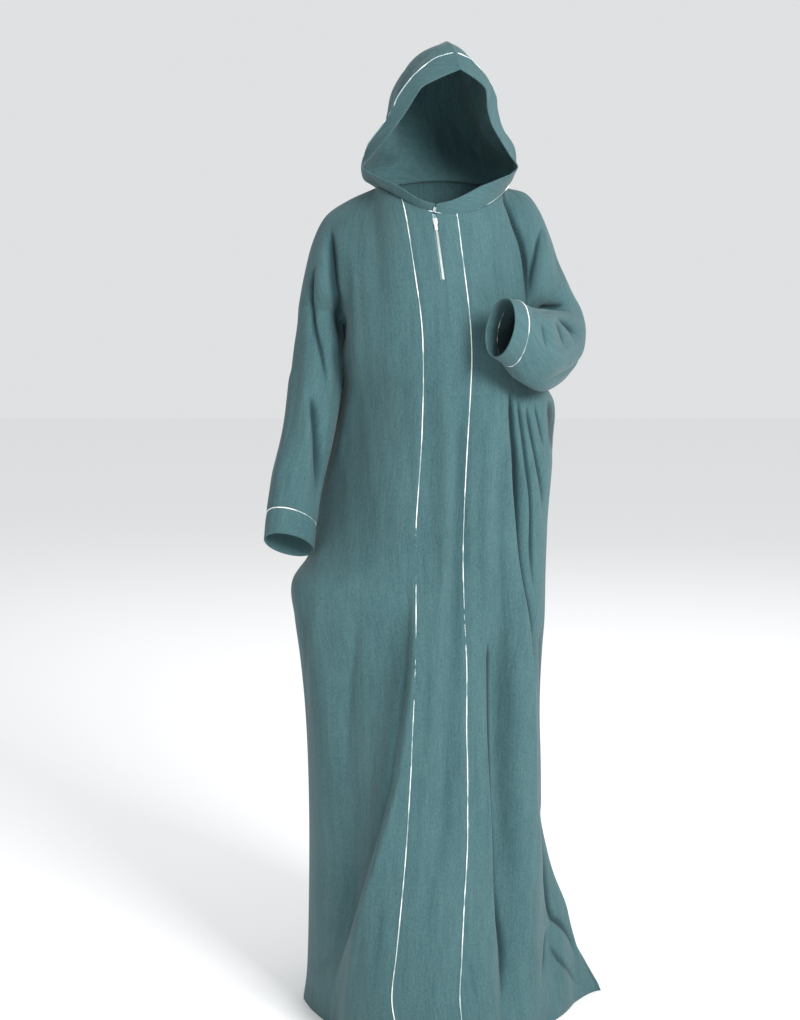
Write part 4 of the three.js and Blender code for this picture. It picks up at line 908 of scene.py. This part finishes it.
def crepe_look():
    """Teal crinkled crepe: fine uneven ribs along the grain, with tone that varies at random, painted shade
    in their grooves and in deep folds, and painted light on the ridges of soft folds.
    """
    look = Look("crepe", Sheen_Weight=0.1, Sheen_Roughness=0.5, Specular_IOR_Level=0.2)
    grain = look.node("ShaderNodeUVMap", {"uv_map": "cloth"})
    ribs = look.noise(look.scaled(grain, 240.0, 30.0), detail=4.0, roughness=0.62, distortion=0.5)
    threads = look.noise(look.scaled(grain, 900.0, 420.0), detail=2.0)
    pebbles = look.noise(look.scaled(grain, 330.0, 200.0), detail=3.0, roughness=0.65)
    clouds = look.noise(look.scaled(grain, 11.0, 5.0), detail=4.0)
    streaks = look.noise(look.scaled(grain, 75.0, 3.5), detail=3.0)
    height = ribs * 0.55 + threads * 0.15 + pebbles * 0.3
    # darker where the crinkle's bumps are lower, as painted shade, and darker or lighter at random in clouds
    tone = (ribs - 0.5) * 0.8 + (threads - 0.5) * 0.4 + (pebbles - 0.5) * 1.1 + (clouds - 0.5) * 0.7
    # the painted shade and painted light of the folds, from the cloth pieces
    fold = look.node("ShaderNodeAttribute", {"attribute_name": "fold"}, {}, output=2)
    tone = tone + (streaks - 0.5) * 0.5 - fold * 0.7 + 0.5
    tone = look.node("ShaderNodeClamp", {}, {0: tone, 1: 0.0, 2: 1.0})
    cloth_colour = look.blend(tone, DARK_TONE_AND_SHADE_TEAL, LIGHT_TONE_AND_PAINTED_LIGHT_TEAL)
    # painted shade: the deepest creases are darkened further, towards a near-black teal
    look.feed("Base Color", look.blend(fold * 0.95 - 0.1, cloth_colour, CREASE_SHADE_TEAL))
    look.feed("Roughness", 0.8 + threads * 0.12)
    bump = look.node("ShaderNodeBump", {}, {"Strength": 0.8, "Distance": 0.0016, "Height": height})
    look.feed("Normal", bump)
    return look.material


CREPE = crepe_look()
BODY = "abaya"


def finish_cloth(piece, node, grid, wraps):
    """Gives a cloth piece its finish and body, in place of its frame node, and works out its flat size."""
    piece.data.materials.append(CREPE)
    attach(piece, BODY)
    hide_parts(node)
    flat, area = cut_size(grid, wraps)


slit_first = 2 * COLUMNS_PER_CELL["front_centre"]
slit_row = SKIRT_ROWS + 1 + int(np.searchsorted(bodice_w, SLIT_FROM))


def in_slit(r, c):
    return r >= slit_row and slit_first <= c < slit_first + COLUMNS_PER_CELL["front_centre"]


GRAIN_FROM = {"front_side_right": 1.0, "front_centre": 0.5, "front_side_left": 0.0, "back": 0.5}
for name in PANELS:
    skip = in_slit if name == "front_centre" else None
    # each panel gets the painted shade and painted light of its folds
    panel_piece = cloth_piece(f"panel_{name}", body[name], middle=GRAIN_FROM[name], skip=skip, free_row=0,
                              fold=shade[numbers[name]])
    finish_cloth(panel_piece, name, body[name], False)
for name in TUBES:
    mouth = CUFF_ROWS if "cuff" in name else None
    # painted shade and painted light of the sleeve's folds
    tone = shade[numbers[name]]
    tube_piece = cloth_piece(f"crepe_{name}", body[name], wraps=True, free_row=mouth, fold=tone)
    finish_cloth(tube_piece, name, body[name], True)

# Hood
# Two shaped halves of the same crepe, joined over the crown, with a doubled band about 50 mm wide round the
# opening, which runs down into the neckline on both sides of the zip. It is up, flared over the shoulders,
# and turned a little to the left.

ZIP_ANGLE = -7.4  # where on the neckline the zip stands
BAND_END = 0.5  # how far from it each band ends
HOOD_FROM = {"right": -75, "left": 75}
HOOD_TO = 165  # the last arch, from which the hood closes to the nape
HOOD_CLOSES = 157.5
# The band's free edge from the zip to the shoulder and from there up to the crown, and the seam between it
# and the hood from the shoulder up.
FREE_EDGE_LOW = [
    (1.2, -128, -21), (24, -125, -15), (46, -118, -4), (66, -108, 8), (90, -94, 18), (112, -78, 28),
]
FREE_EDGE_HIGH = [
    (127, -66, 42), (110, -76, 62), (90, -92, 91), (80, -98, 108), (69, -106, 131), (63, -112, 148),
    (56, -116, 162), (34, -121, 175), (0, -127, 190),
]
FREE_EDGE_SHIFT = (-6, 4)
BAND_SEAM = [
    (121, -22, 24), (126, -34, 48), (121, -52, 76), (104, -70, 104), (93, -80, 132), (85, -86, 154),
    (66, -91, 181), (48, -94, 197), (30, -97, 209), (0, -101, 218),
]
# Arches by the angle at which they leave the neckline: the widest point above the shoulder, the point at
# the temple, and the crown seam's y and z.
ARCH_ANGLES = (75, 90, 102, 114, 126, 138, 150, 165)
ARCH_FLARE = [
    (126, -34, 48), (127, -14, 45), (120, 10, 43), (110, 32, 43), (98, 50, 44), (82, 64, 44), (62, 74, 42),
    (33, 74, 32),
]
ARCH_SIDE = [
    (92, -80, 132), (85, -50, 134), (84, -12, 134), (78, 28, 130), (68, 58, 116), (56, 78, 94), (42, 84, 68),
    (20, 75, 34),
]
ARCH_TOP = [(-101, 218), (-60, 240), (-10, 239), (44, 222), (80, 190), (98, 146), (98, 96), (77, 34)]
CROWN = ((0.8, 0.55, 0.49), (0.52, 0.8, 0.8))  # shares of the half width, and of the way back and up
CHEEK = np.array((-6, 0, 0))  # how the hood draws in between shoulder and temple
SEAM_EASE = 35  # angle over which the arches leave the band's seam
LEFT_NARROWER = 0.13  # share by which the left half is narrower above NARROW_TO
NARROW_FROM = 60
NARROW_TO = 130
TURN_ANGLE = 16  # how far the hood is turned to the left, fully above TURN_OVER
TURN_X = 6
TURN_Y = -10
TURN_OVER = 150
HOOD_ROWS = 84
HOOD_COLUMNS = 72
BAND_ROWS = 12
NECK_PER_CELL = 8

arch_flare = smooth_through(ARCH_ANGLES, ARCH_FLARE)
arch_side = smooth_through(ARCH_ANGLES, ARCH_SIDE)
arch_top = smooth_through(ARCH_ANGLES, ARCH_TOP)


def turned_path(start, points, sign):
    """A path from a fixed start, through points that turn to the left with the hood."""
    points = np.asarray(points, float) * (sign, 1, 1)
    if sign > 0:
        points[:, 0] *= 1 - LEFT_NARROWER * smoothstep(points[:, 2], NARROW_FROM, NARROW_TO)
    share = np.clip((points[:, 2] - max(start[2], 0)) / TURN_OVER, 0, 1)
    angle = np.radians(TURN_ANGLE) * share
    x, y = points[:, 0] - TURN_X, points[:, 1] - TURN_Y
    cos, sin = np.cos(angle), np.sin(angle)
    placed = xyz(TURN_X + x * cos - y * sin, TURN_Y + x * sin + y * cos, points[:, 2])
    return smooth_path(np.concatenate([[start], placed]))(np.linspace(0, 1, HOOD_COLUMNS + 1))


def arch_half(angle, sign):
    """Half an arch of the hood, from the neckline up to the crown seam."""
    start = neck_point(sign * angle)
    flare, side, (top_y, top_z) = arch_flare(angle), arch_side(angle), arch_top(angle)
    crown = []
    for wide, deep, up in CROWN:
        crown.append((side[0] * wide, mix(side[1], top_y, deep), mix(side[2], top_z, up)))
    arch = turned_path(start, [flare, (flare + side) / 2 + CHEEK, side, *crown, (0, top_y, top_z)], sign)
    foot = mix(start, neck_point(180), np.linspace(0, 1, HOOD_COLUMNS + 1)[:, None])
    return mix(arch, foot, smoothstep(angle, HOOD_CLOSES, HOOD_TO))


hood = {}
hood_seams = {}
for side, sign in (("right", -1), ("left", 1)):
    centre = NECK_ANGLES["centre"][:3][::-1] if side == "right" else NECK_ANGLES["centre"][3:]
    along = NECK_ANGLES[side][::-1][:-1] if side == "right" else NECK_ANGLES[side][:-1]
    stations = [ZIP_ANGLE + sign * BAND_END, *centre, *along[1:]]
    cells = len(stations) - 1
    steps = np.linspace(0, cells, cells * NECK_PER_CELL + 1)
    seam_low = neck_point(np.interp(steps, np.arange(cells + 1), stations))
    seam_high = turned_path(seam_low[-1], BAND_SEAM, sign)
    t = steps / cells
    edge_low = smooth_path(FREE_EDGE_LOW)(t) * (sign, 1, 1)
    edge_low[:, 0] += mix(FREE_EDGE_SHIFT[0], FREE_EDGE_SHIFT[1], t)
    edge_high = turned_path(edge_low[-1], FREE_EDGE_HIGH, sign)
    seam, edge = np.concatenate([seam_low, seam_high[1:]]), np.concatenate([edge_low, edge_high[1:]])
    band = mix(edge[None], seam[None], np.linspace(0, 1, BAND_ROWS + 1)[:, None, None])
    start = abs(HOOD_FROM[side])
    first = arch_half(start, sign)
    angles = np.linspace(start, HOOD_TO, HOOD_ROWS + 1)
    rows = [seam_high]
    for angle in angles[1:]:
        ease = 1 - smoothstep(angle - start, 0, SEAM_EASE)
        rows.append(arch_half(angle, sign) + (seam_high - first) * ease)
    half = np.array(rows)
    if side == "left":
        band, half = band[:, ::-1], half[:, ::-1]
    hood[f"hood_band_{side}"], hood[f"hood_{side}"] = band, half
    hood_seams[side] = len(steps)


def grid_normals(grids):
    """The normals of several grids that meet at their edges, in the form of the grids."""
    points, numbers_in = weld(grids)
    all_normals = point_normals(points, numbers_in)
    return {name: all_normals[grid] for name, grid in numbers_in.items()}


hood_normals = grid_normals(hood)

# Folds on a hood half: a path of (share of the way round to the nape, share of the way up to the crown).
HOOD_FOLDS = [
    ([(0.1, 0.95), (0.16, 0.6), (0.12, 0.3)], 8, 9, -3),
    ([(0.3, 0.98), (0.34, 0.6), (0.3, 0.25), (0.24, 0.1)], 9, 9, -4),
    ([(0.5, 0.8), (0.5, 0.45), (0.42, 0.16)], 9, 10, 4),
    ([(0.66, 0.9), (0.62, 0.5), (0.56, 0.15)], 9, 9, -4),
    ([(0.8, 0.7), (0.76, 0.4), (0.7, 0.1)], 8, 8, 3),
]
HOOD_ROUND = 190.0  # the lengths that those shares are of
HOOD_HIGH = 260.0
HOOD_FADE = 30
BAND_THICK = 1.4  # times the cloth, which is folded double
for name in hood:
    grid = hood[name]
    rows, columns = grid.shape[:2]
    depth = np.zeros((rows, columns))
    if "band" not in name:
        round_share = np.broadcast_to(np.linspace(0, 1, rows)[:, None], depth.shape)
        up_share = np.broadcast_to(np.linspace(0, 1, columns)[None], depth.shape)
        if name.endswith("left"):
            up_share = up_share[:, ::-1]
        for path, plus, minus, height in HOOD_FOLDS:
            chart = [(s * HOOD_ROUND, t * HOOD_HIGH) for s, t in path]
            u, v = round_share * HOOD_ROUND, up_share * HOOD_HIGH
            depth += crease(u, v, chart, plus, minus, height, HOOD_FADE)
        depth += 0.7 * np.sin(round_share * 31 + up_share * 4) * np.sin(up_share * 13 + 1)
        inside = smoothstep(round_share, 0, 0.08) * smoothstep(1 - round_share, 0, 0.1)
        depth *= inside * smoothstep(up_share, 0, 0.08) * smoothstep(1 - up_share, 0, 0.05)
    hood[name] = grid + hood_normals[name] * depth[..., None]
    is_band = "band" in name
    wall, free = (THICK * BAND_THICK, 0) if is_band else (THICK, None)
    hood_piece = cloth_piece(f"crepe_{name}", hood[name], thick=wall, free_row=free)
    finish_cloth(hood_piece, name, hood[name], False)

# Piping
# A thin twisted silver cord lies in both long front seams, in the seam between the hood and its band, and
# in both cuff seams. It gleams unevenly as it turns and sinks into the seam, and its colour carries
# painted glints and painted dull shade in patches along it.

CORD_RADIUS = 1.15
CORD_LIFT = 0.9  # how far its middle lies above the seam
NECK_OUTWARD = np.array((0.0, -0.9, 0.45))  # the way the front of the body faces at the neck
CORD_PITCH = 5.0  # length of one turn of its strands
CORD_STEP = 1.1
STRAND_THICK = 0.62  # shares of the cord's radius: a strand's own, and how far it lies from the middle
STRAND_AWAY = 0.5
# the cord's colour: painted dull shade, and painted glint
CORD_SHADED_DULL = (0.34, 0.44, 0.45, 1)
CORD_GLINT_BRIGHT = (0.93, 0.95, 0.94, 1)


def silver_look():
    """Silver metallised cord: its colour has painted glints and painted dull shade in patches along it."""
    look = Look("silver_cord", Metallic=0.55, Specular_IOR_Level=0.6)
    place = look.node("ShaderNodeTexCoord", {}, {}, output=3)
    glint_and_shade_patches = look.noise(look.scaled(place, 26.0, 26.0, 26.0), detail=2.0)
    glints = look.noise(look.scaled(place, 520.0, 520.0, 520.0), detail=2.0)
    # painted glints: bright silver in patches and fine spots; painted dull shade between them
    painted_glint = look.node("ShaderNodeValToRGB", {}, {0: glint_and_shade_patches}, stops=((0.42, 0.0), (0.56, 1.0)))
    painted_glint = painted_glint * (0.7 + 0.3 * glints)
    look.feed("Base Color", look.blend(painted_glint, CORD_SHADED_DULL, CORD_GLINT_BRIGHT))
    look.feed("Roughness", 0.42 - 0.16 * glints)
    return look.material


def cord_tree(name, material):
    """Geometry nodes: two strands twisted round a line of edges."""
    tree = bpy.data.node_groups.new(name, "GeometryNodeTree")
    tree.interface.new_socket("Line", in_out="INPUT", socket_type="NodeSocketGeometry")
    for size in ("Radius", "Pitch", "Step"):
        tree.interface.new_socket(size, in_out="INPUT", socket_type="NodeSocketFloat")
    tree.interface.new_socket("Cord", in_out="OUTPUT", socket_type="NodeSocketGeometry")

    def add(kind, settings=None, **links):
        node = tree.nodes.new(kind)
        for key, value in (settings or {}).items():
            setattr(node, key, value)
        for key, value in links.items():
            socket = node.inputs[int(key[1:])]
            if isinstance(value, bpy.types.NodeSocket):
                tree.links.new(value, socket)
            else:
                socket.default_value = value
        return node

    given = add("NodeGroupInput")
    radius, pitch, step = given.outputs["Radius"], given.outputs["Pitch"], given.outputs["Step"]
    line = add("GeometryNodeMeshToCurve", _0=given.outputs["Line"])
    even = tree.nodes.new("GeometryNodeResampleCurve")
    even.mode = "LENGTH"
    tree.links.new(line.outputs[0], even.inputs["Curve"])
    tree.links.new(step, even.inputs["Length"])
    passed = add("GeometryNodeSplineParameter").outputs["Length"]
    turns = add("ShaderNodeMath", {"operation": "DIVIDE"}, _0=passed, _1=pitch).outputs[0]
    normal = add("GeometryNodeInputNormal").outputs[0]
    tangent = add("GeometryNodeInputTangent").outputs[0]
    binormal = add("ShaderNodeVectorMath", {"operation": "CROSS_PRODUCT"}, _0=normal, _1=tangent).outputs[0]
    strands = tree.nodes.new("GeometryNodeJoinGeometry")
    profile = add("GeometryNodeCurvePrimitiveCircle")
    profile.inputs["Resolution"].default_value = 6
    thin = add("ShaderNodeMath", {"operation": "MULTIPLY"}, _0=radius, _1=STRAND_THICK).outputs[0]
    tree.links.new(thin, profile.inputs["Radius"])
    away = add("ShaderNodeMath", {"operation": "MULTIPLY"}, _0=radius, _1=STRAND_AWAY).outputs[0]
    for strand in range(2):
        half_turns = math.pi * strand
        angle = add("ShaderNodeMath", {"operation": "MULTIPLY_ADD"}, _0=turns, _1=2 * math.pi, _2=half_turns)
        offset = []
        for way, axis in (("COSINE", normal), ("SINE", binormal)):
            share = add("ShaderNodeMath", {"operation": way}, _0=angle.outputs[0]).outputs[0]
            size = add("ShaderNodeMath", {"operation": "MULTIPLY"}, _0=share, _1=away).outputs[0]
            scaled = tree.nodes.new("ShaderNodeVectorMath")
            scaled.operation = "SCALE"
            tree.links.new(axis, scaled.inputs[0])
            tree.links.new(size, scaled.inputs["Scale"])
            offset.append(scaled.outputs[0])
        both = add("ShaderNodeVectorMath", {"operation": "ADD"}, _0=offset[0], _1=offset[1]).outputs[0]
        moved = tree.nodes.new("GeometryNodeSetPosition")
        tree.links.new(even.outputs[0], moved.inputs["Geometry"])
        tree.links.new(both, moved.inputs["Offset"])
        tube = tree.nodes.new("GeometryNodeCurveToMesh")
        tube.inputs["Fill Caps"].default_value = True
        tree.links.new(moved.outputs[0], tube.inputs["Curve"])
        tree.links.new(profile.outputs[0], tube.inputs["Profile Curve"])
        tree.links.new(tube.outputs[0], strands.inputs[0])
    smooth = tree.nodes.new("GeometryNodeSetShadeSmooth")
    tree.links.new(strands.outputs[0], smooth.inputs[0])
    real = tree.nodes.new("GeometryNodeRealizeInstances")
    tree.links.new(smooth.outputs[0], real.inputs[0])
    painted = tree.nodes.new("GeometryNodeSetMaterial")
    painted.inputs["Material"].default_value = material
    tree.links.new(real.outputs[0], painted.inputs["Geometry"])
    tree.links.new(painted.outputs[0], tree.nodes.new("NodeGroupOutput").inputs[0])
    return tree


def line_object(name, points):
    mesh = bpy.data.meshes.new(name)
    mesh.from_pydata((np.asarray(points) * MM).tolist(), [(i, i + 1) for i in range(len(points) - 1)], [])
    line = bpy.data.objects.new(name, mesh)
    bpy.context.scene.collection.objects.link(line)
    return line


def grown(line, tree, sizes, name):
    """A tree's result on an object, as a plain mesh in its place."""
    modifier = line.modifiers.new("grow", "NODES")
    modifier.node_group = tree
    for item in tree.interface.items_tree:
        if item.in_out == "INPUT" and item.name in sizes:
            modifier[item.identifier] = sizes[item.name]
    graph = bpy.context.evaluated_depsgraph_get()
    mesh = bpy.data.meshes.new_from_object(line.evaluated_get(graph))
    piece = bpy.data.objects.new(name, mesh)
    bpy.context.scene.collection.objects.link(piece)
    bpy.data.objects.remove(line)
    return piece


SILVER = silver_look()
CORD_TREE = cord_tree("twisted_cord", SILVER)
CORD_SIZES = {"Radius": CORD_RADIUS * MM, "Pitch": CORD_PITCH * MM, "Step": CORD_STEP * MM}
hood_normals = grid_normals(hood)

# How much of a cord shows at a height, or at a share of the way round a cuff: 1 stands free of its seam.
CORD_SHOWS = {
    "piping_front_right": [
        (-1400, 1), (-1300, 0.95), (-1080, 0.8), (-1050, 0.5), (-960, 0.45), (-938, 0.9), (-912, 0.9),
        (-895, 0.45), (-815, 0.35), (-795, 0.1), (-705, 0.1), (-690, 1), (-640, 1), (-628, 0.05), (-548, 0),
        (-535, 0.5), (-430, 0.6), (-420, 0.15), (-408, 0.2), (-395, 0.95), (-90, 0.8), (-70, 0.45), (0, 1),
    ],
    "piping_front_left": [
        (-1400, 1), (-1060, 0.95), (-980, 0.6), (-952, 0.95), (-905, 0.95), (-885, 0.6), (-740, 0.55),
        (-722, 0.1), (-675, 0.1), (-660, 0.75), (-560, 0.6), (-200, 0.75), (-90, 0.5), (0, 0.35),
    ],
    "piping_hood_right": [
        (-26, 0), (70, 0), (78, 0.8), (108, 0.8), (115, 0.1), (135, 0.1), (142, 1), (240, 1),
    ],
    "piping_hood_left": [(-22, 0), (-17, 0.9), (12, 0.9), (18, 0), (185, 0.1), (200, 0.6), (240, 0.8)],
    "piping_cuff_right": [(0, 0.3), (0.12, 0.4), (0.2, 1), (0.36, 1), (0.46, 0.4), (1, 0.3)],
    "piping_cuff_left": [(0, 0.3), (0.52, 0.4), (0.58, 1), (0.84, 1), (0.9, 0.5), (1, 0.3)],
}
CORD_SINKS = 2.3  # how far it sinks where none of it shows
CORD_TURN = 17  # how much of the hood's cords turns up at the zip, where it stands free
CORD_TURN_ROW = 4  # the row of the hood band at which they end
CORD_UNEVEN = (0.16, 0.1)  # how unevenly a cord shows, from twist to twist and over longer stretches


def piping(name, points, normals):
    """A cord on a line of cloth points, which sinks into its seam and rises from it."""
    passed = np.concatenate([[0], np.cumsum(np.linalg.norm(np.diff(points, axis=0), axis=1))])
    key = passed / passed[-1] if "cuff" in name else points[:, 2]
    shows = np.interp(key, *np.array(CORD_SHOWS[name]).T)
    if "hood" in name:
        from_zip = passed if points[0, 2] < points[-1, 2] else passed[-1] - passed
        shows = np.where(from_zip < CORD_TURN, 1, shows)
    shows = shows + CORD_UNEVEN[0] * np.sin(passed / 3.1) * np.sin(passed / 23 + 1)
    shows = shows + CORD_UNEVEN[1] * np.sin(passed / 11)
    lift = CORD_LIFT - CORD_SINKS * (1 - np.clip(shows, 0, 1))
    line = line_object(f"line_{name}", points + normals * lift[:, None])
    cord = grown(line, CORD_TREE, CORD_SIZES, f"cord_{name}")
    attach(cord, BODY)
    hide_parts(name)


piping("piping_front_right", body["front_centre"][:, 0], final_normals["front_centre"][:, 0])
piping("piping_front_left", body["front_side_left"][:, 0], final_normals["front_side_left"][:, 0])
for side in ("right", "left"):
    band = f"hood_band_{side}"
    outward = hood_normals[band][-1].copy()
    at_neck = hood_seams[side]
    neck_side = slice(0, at_neck) if side == "right" else slice(len(outward) - at_neck, None)
    outward[neck_side] = unit(outward[neck_side] + NECK_OUTWARD)
    seam_line, end_line = hood[band][-1], hood[band][CORD_TURN_ROW:-1]
    end_normals = hood_normals[band][CORD_TURN_ROW:-1]
    if side == "right":
        line = np.concatenate([end_line[:, 0], seam_line[2:-1]])
        outward = np.concatenate([end_normals[:, 0], outward[2:-1]])
    else:
        line = np.concatenate([seam_line[1:-2], end_line[::-1, -1]])
        outward = np.concatenate([outward[1:-2], end_normals[::-1, -1]])
    piping(f"piping_hood_{side}", line, outward)
    cuff = f"cuff_{side}"
    loop, outward = body[cuff][0], final_normals[cuff][0]
    piping(f"piping_cuff_{side}", loop, outward)

# Zip
# A short closed zip in a slit at the throat: woven tapes dyed near the cloth behind its edges, metal teeth
# between them, and a slider at the top with a flat pull tab that swings on its bridge.

TAPE_GAP = 0.3
TAPE_WIDTH = 10.4
TAPE_BEHIND = 3.2  # how far behind the slit's edges the tapes lie
TAPE_COLUMNS = 6
TAPE_ENDS = 3  # rows of cells below the neckline
TOOTH_PITCH = 1.7
TOOTH = (2.5, 0.62, 1.1)  # half-sizes across, along and out
TEETH_FROM = 2.0  # how far up the slit the first tooth stands
TEETH_BEHIND = 1.6
TEETH_LAP = 0.4  # how far a tooth reaches past the middle
SLIDER_ROOM = 0.001  # metres between the last tooth and the slider
METAL_WORN = (0.78, 0.81, 0.81, 1)
METAL_BRIGHT = (0.95, 0.96, 0.96, 1)
TAPE_DYED = (0.12, 0.24, 0.26, 1)
TAPE_SILVER = (0.26, 0.42, 0.44, 1)


def metal_look():
    """Silver-coloured zip metal, lightly brushed and a little worn in random patches."""
    look = Look("zip_metal", Metallic=0.9, Specular_IOR_Level=0.5)
    place = look.node("ShaderNodeTexCoord", {}, {}, output=3)
    wear = look.noise(look.scaled(place, 400.0, 400.0, 900.0), detail=3.0)
    look.feed("Base Color", look.blend(wear, METAL_WORN, METAL_BRIGHT))
    look.feed("Roughness", 0.24 + 0.2 * wear)
    return look.material


def tape_look():
    """Woven zip tape dyed near the cloth, with a fine herringbone of silver threads."""
    look = Look("zip_tape", Specular_IOR_Level=0.3)
    grain = look.node("ShaderNodeUVMap", {"uv_map": "cloth"})
    sockets = {"Vector": look.scaled(grain, 900.0, 900.0), "Scale": 1.0, "Distortion": 0.4}
    weave = look.node("ShaderNodeTexWave", {"bands_direction": "DIAGONAL"}, sockets, output=1)
    look.feed("Base Color", look.blend(weave, TAPE_DYED, TAPE_SILVER))
    look.feed("Roughness", 0.7 + 0.1 * weave)
    bump = look.node("ShaderNodeBump", {}, {"Strength": 0.3, "Distance": 0.0003, "Height": weave})
    look.feed("Normal", bump)
    return look.material


METAL = metal_look()
TAPE = tape_look()
slit_edges = [slit_first, slit_first + COLUMNS_PER_CELL["front_centre"]]
slit_right, slit_left = (body["front_centre"][slit_row:, column] for column in slit_edges)
zip_normals = unit(sum(final_normals["front_centre"][slit_row:, column] for column in slit_edges))
zip_middle = (slit_right + slit_left) / 2
zip_across = unit(slit_left - slit_right)
for side, sign in (("right", -1), ("left", 1)):
    near, far = sign * TAPE_GAP, sign * (TAPE_GAP + TAPE_WIDTH)
    offsets = np.linspace(min(near, far), max(near, far), TAPE_COLUMNS + 1)[None, :, None]
    rows = slice(0, -TAPE_ENDS)
    strip = zip_middle[rows, None] + zip_across[rows, None] * offsets
    strip = strip - zip_normals[rows, None] * TAPE_BEHIND
    tape = cloth_piece(f"tape_{side}", strip, thick=0.7)
    tape.data.materials.append(TAPE)
    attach(tape, BODY)
    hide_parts(f"zip_tape_{side}")
    flat, area = cut_size(strip)


def teeth_piece():
    """The chain: metal teeth from both tapes, in turn."""
    slider_low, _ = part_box("zip_slider")
    passed = np.concatenate([[0], np.cumsum(np.linalg.norm(np.diff(zip_middle, axis=0), axis=1))])
    centre_at, across_at = smooth_through(passed, zip_middle), smooth_through(passed, zip_across)
    normal_at = smooth_through(passed, zip_normals)
    vertices, faces = [], []
    shape = [(-1, -1, -1), (1, -0.6, -1), (1, 0.6, -1), (-1, 1, -1), (-0.8, -0.7, 1), (0.8, -0.4, 1),
             (0.8, 0.4, 1), (-0.8, 0.7, 1)]
    sides = [(0, 3, 2, 1), (4, 5, 6, 7), (0, 1, 5, 4), (1, 2, 6, 5), (2, 3, 7, 6), (3, 0, 4, 7)]
    for k, s in enumerate(np.arange(TEETH_FROM, passed[-1], TOOTH_PITCH / 2)):
        centre, across, normal = centre_at(s), unit(across_at(s)), unit(normal_at(s))
        if centre[2] * MM > slider_low[2] - SLIDER_ROOM:
            break
        along = unit(np.cross(normal, across))
        turn = 1 if k % 2 else -1
        for x, y, z in shape:
            across_mm = turn * (x * TOOTH[0] / 2 - 0.45 * TOOTH[0] + TEETH_LAP)
            out_mm = z * TOOTH[2] - TEETH_BEHIND
            vertices.append(centre + across * across_mm + along * (y * TOOTH[1]) + normal * out_mm)
        base = 8 * k
        for face in sides:
            ring = [base + i for i in face]
            faces.append(ring if turn > 0 else ring[::-1])
    mesh = bpy.data.meshes.new("teeth")
    mesh.from_pydata((np.array(vertices) * MM).tolist(), [], faces)
    piece = bpy.data.objects.new("teeth", mesh)
    bpy.context.scene.collection.objects.link(piece)
    return piece


teeth = teeth_piece()
teeth.data.materials.append(METAL)
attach(teeth, BODY)
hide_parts("zip_chain")
for node in ("zip_slider", "zip_pull_tab"):
    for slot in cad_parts[node].material_slots:
        slot.material = METAL

# Studio
# A plain pale floor that the hem rests on, soft light from large panels, and a camera that looks slightly
# down at the front from as far away as the photograph was taken.

FLOOR_HALF = 14.0  # metres, as are the places below
FLOOR_PALE = (0.95, 0.95, 0.95, 1)
AIR_PALE = (0.98, 0.99, 1.0, 1)
AIR_STRENGTH = 0.76
CAMERA_PLACE = (-0.0629, -3.0, -0.15)
CAMERA_TILT = math.radians(90 - 7.135)
LENS = 63.07
SENSOR = 36

floor_mesh = bpy.data.meshes.new("floor")
floor_corners = [(x * FLOOR_HALF, y * FLOOR_HALF, HEM * MM) for x, y in ((-1, -1), (1, -1), (1, 1), (-1, 1))]
floor_mesh.from_pydata(floor_corners, [], [(0, 1, 2, 3)])
floor = bpy.data.objects.new("floor", floor_mesh)
bpy.context.scene.collection.objects.link(floor)
pale = Look("pale_floor", Roughness=0.9, Specular_IOR_Level=0.1)
pale.feed("Base Color", FLOOR_PALE)
floor.data.materials.append(pale.material)

world = bpy.data.worlds.new("studio")
bpy.context.scene.world = world
world.use_nodes = True
background = world.node_tree.nodes["Background"].inputs
background["Color"].default_value = AIR_PALE
background["Strength"].default_value = AIR_STRENGTH


def panel_light(name, place, aim, size, power):
    """A square panel of light, in metres and watts, turned to a point."""
    data = bpy.data.lights.new(name, "AREA")
    data.size = size
    data.energy = power
    lamp = bpy.data.objects.new(name, data)
    lamp.location = place
    way = np.array(aim) - np.array(place)
    lamp.rotation_euler = Vector(way).to_track_quat("-Z", "Y").to_euler()
    bpy.context.scene.collection.objects.link(lamp)


panel_light("key", (1.9, -3.0, 1.0), (0, 0, -0.3), 1.3, 176)
panel_light("fill", (-3.2, -2.6, 0.8), (0, 0, -0.8), 2.4, 10)
panel_light("back", (0.6, 3.2, 2.2), (0, 0, -0.3), 2.0, 40)

camera_data = bpy.data.cameras.new("camera")
camera_data.lens = LENS
camera_data.sensor_width = SENSOR
camera = bpy.data.objects.new("camera", camera_data)
camera.location = CAMERA_PLACE
camera.rotation_euler = (CAMERA_TILT, 0, 0)
bpy.context.scene.collection.objects.link(camera)
bpy.context.scene.camera = camera
bpy.context.scene.view_settings.view_transform = "Standard"
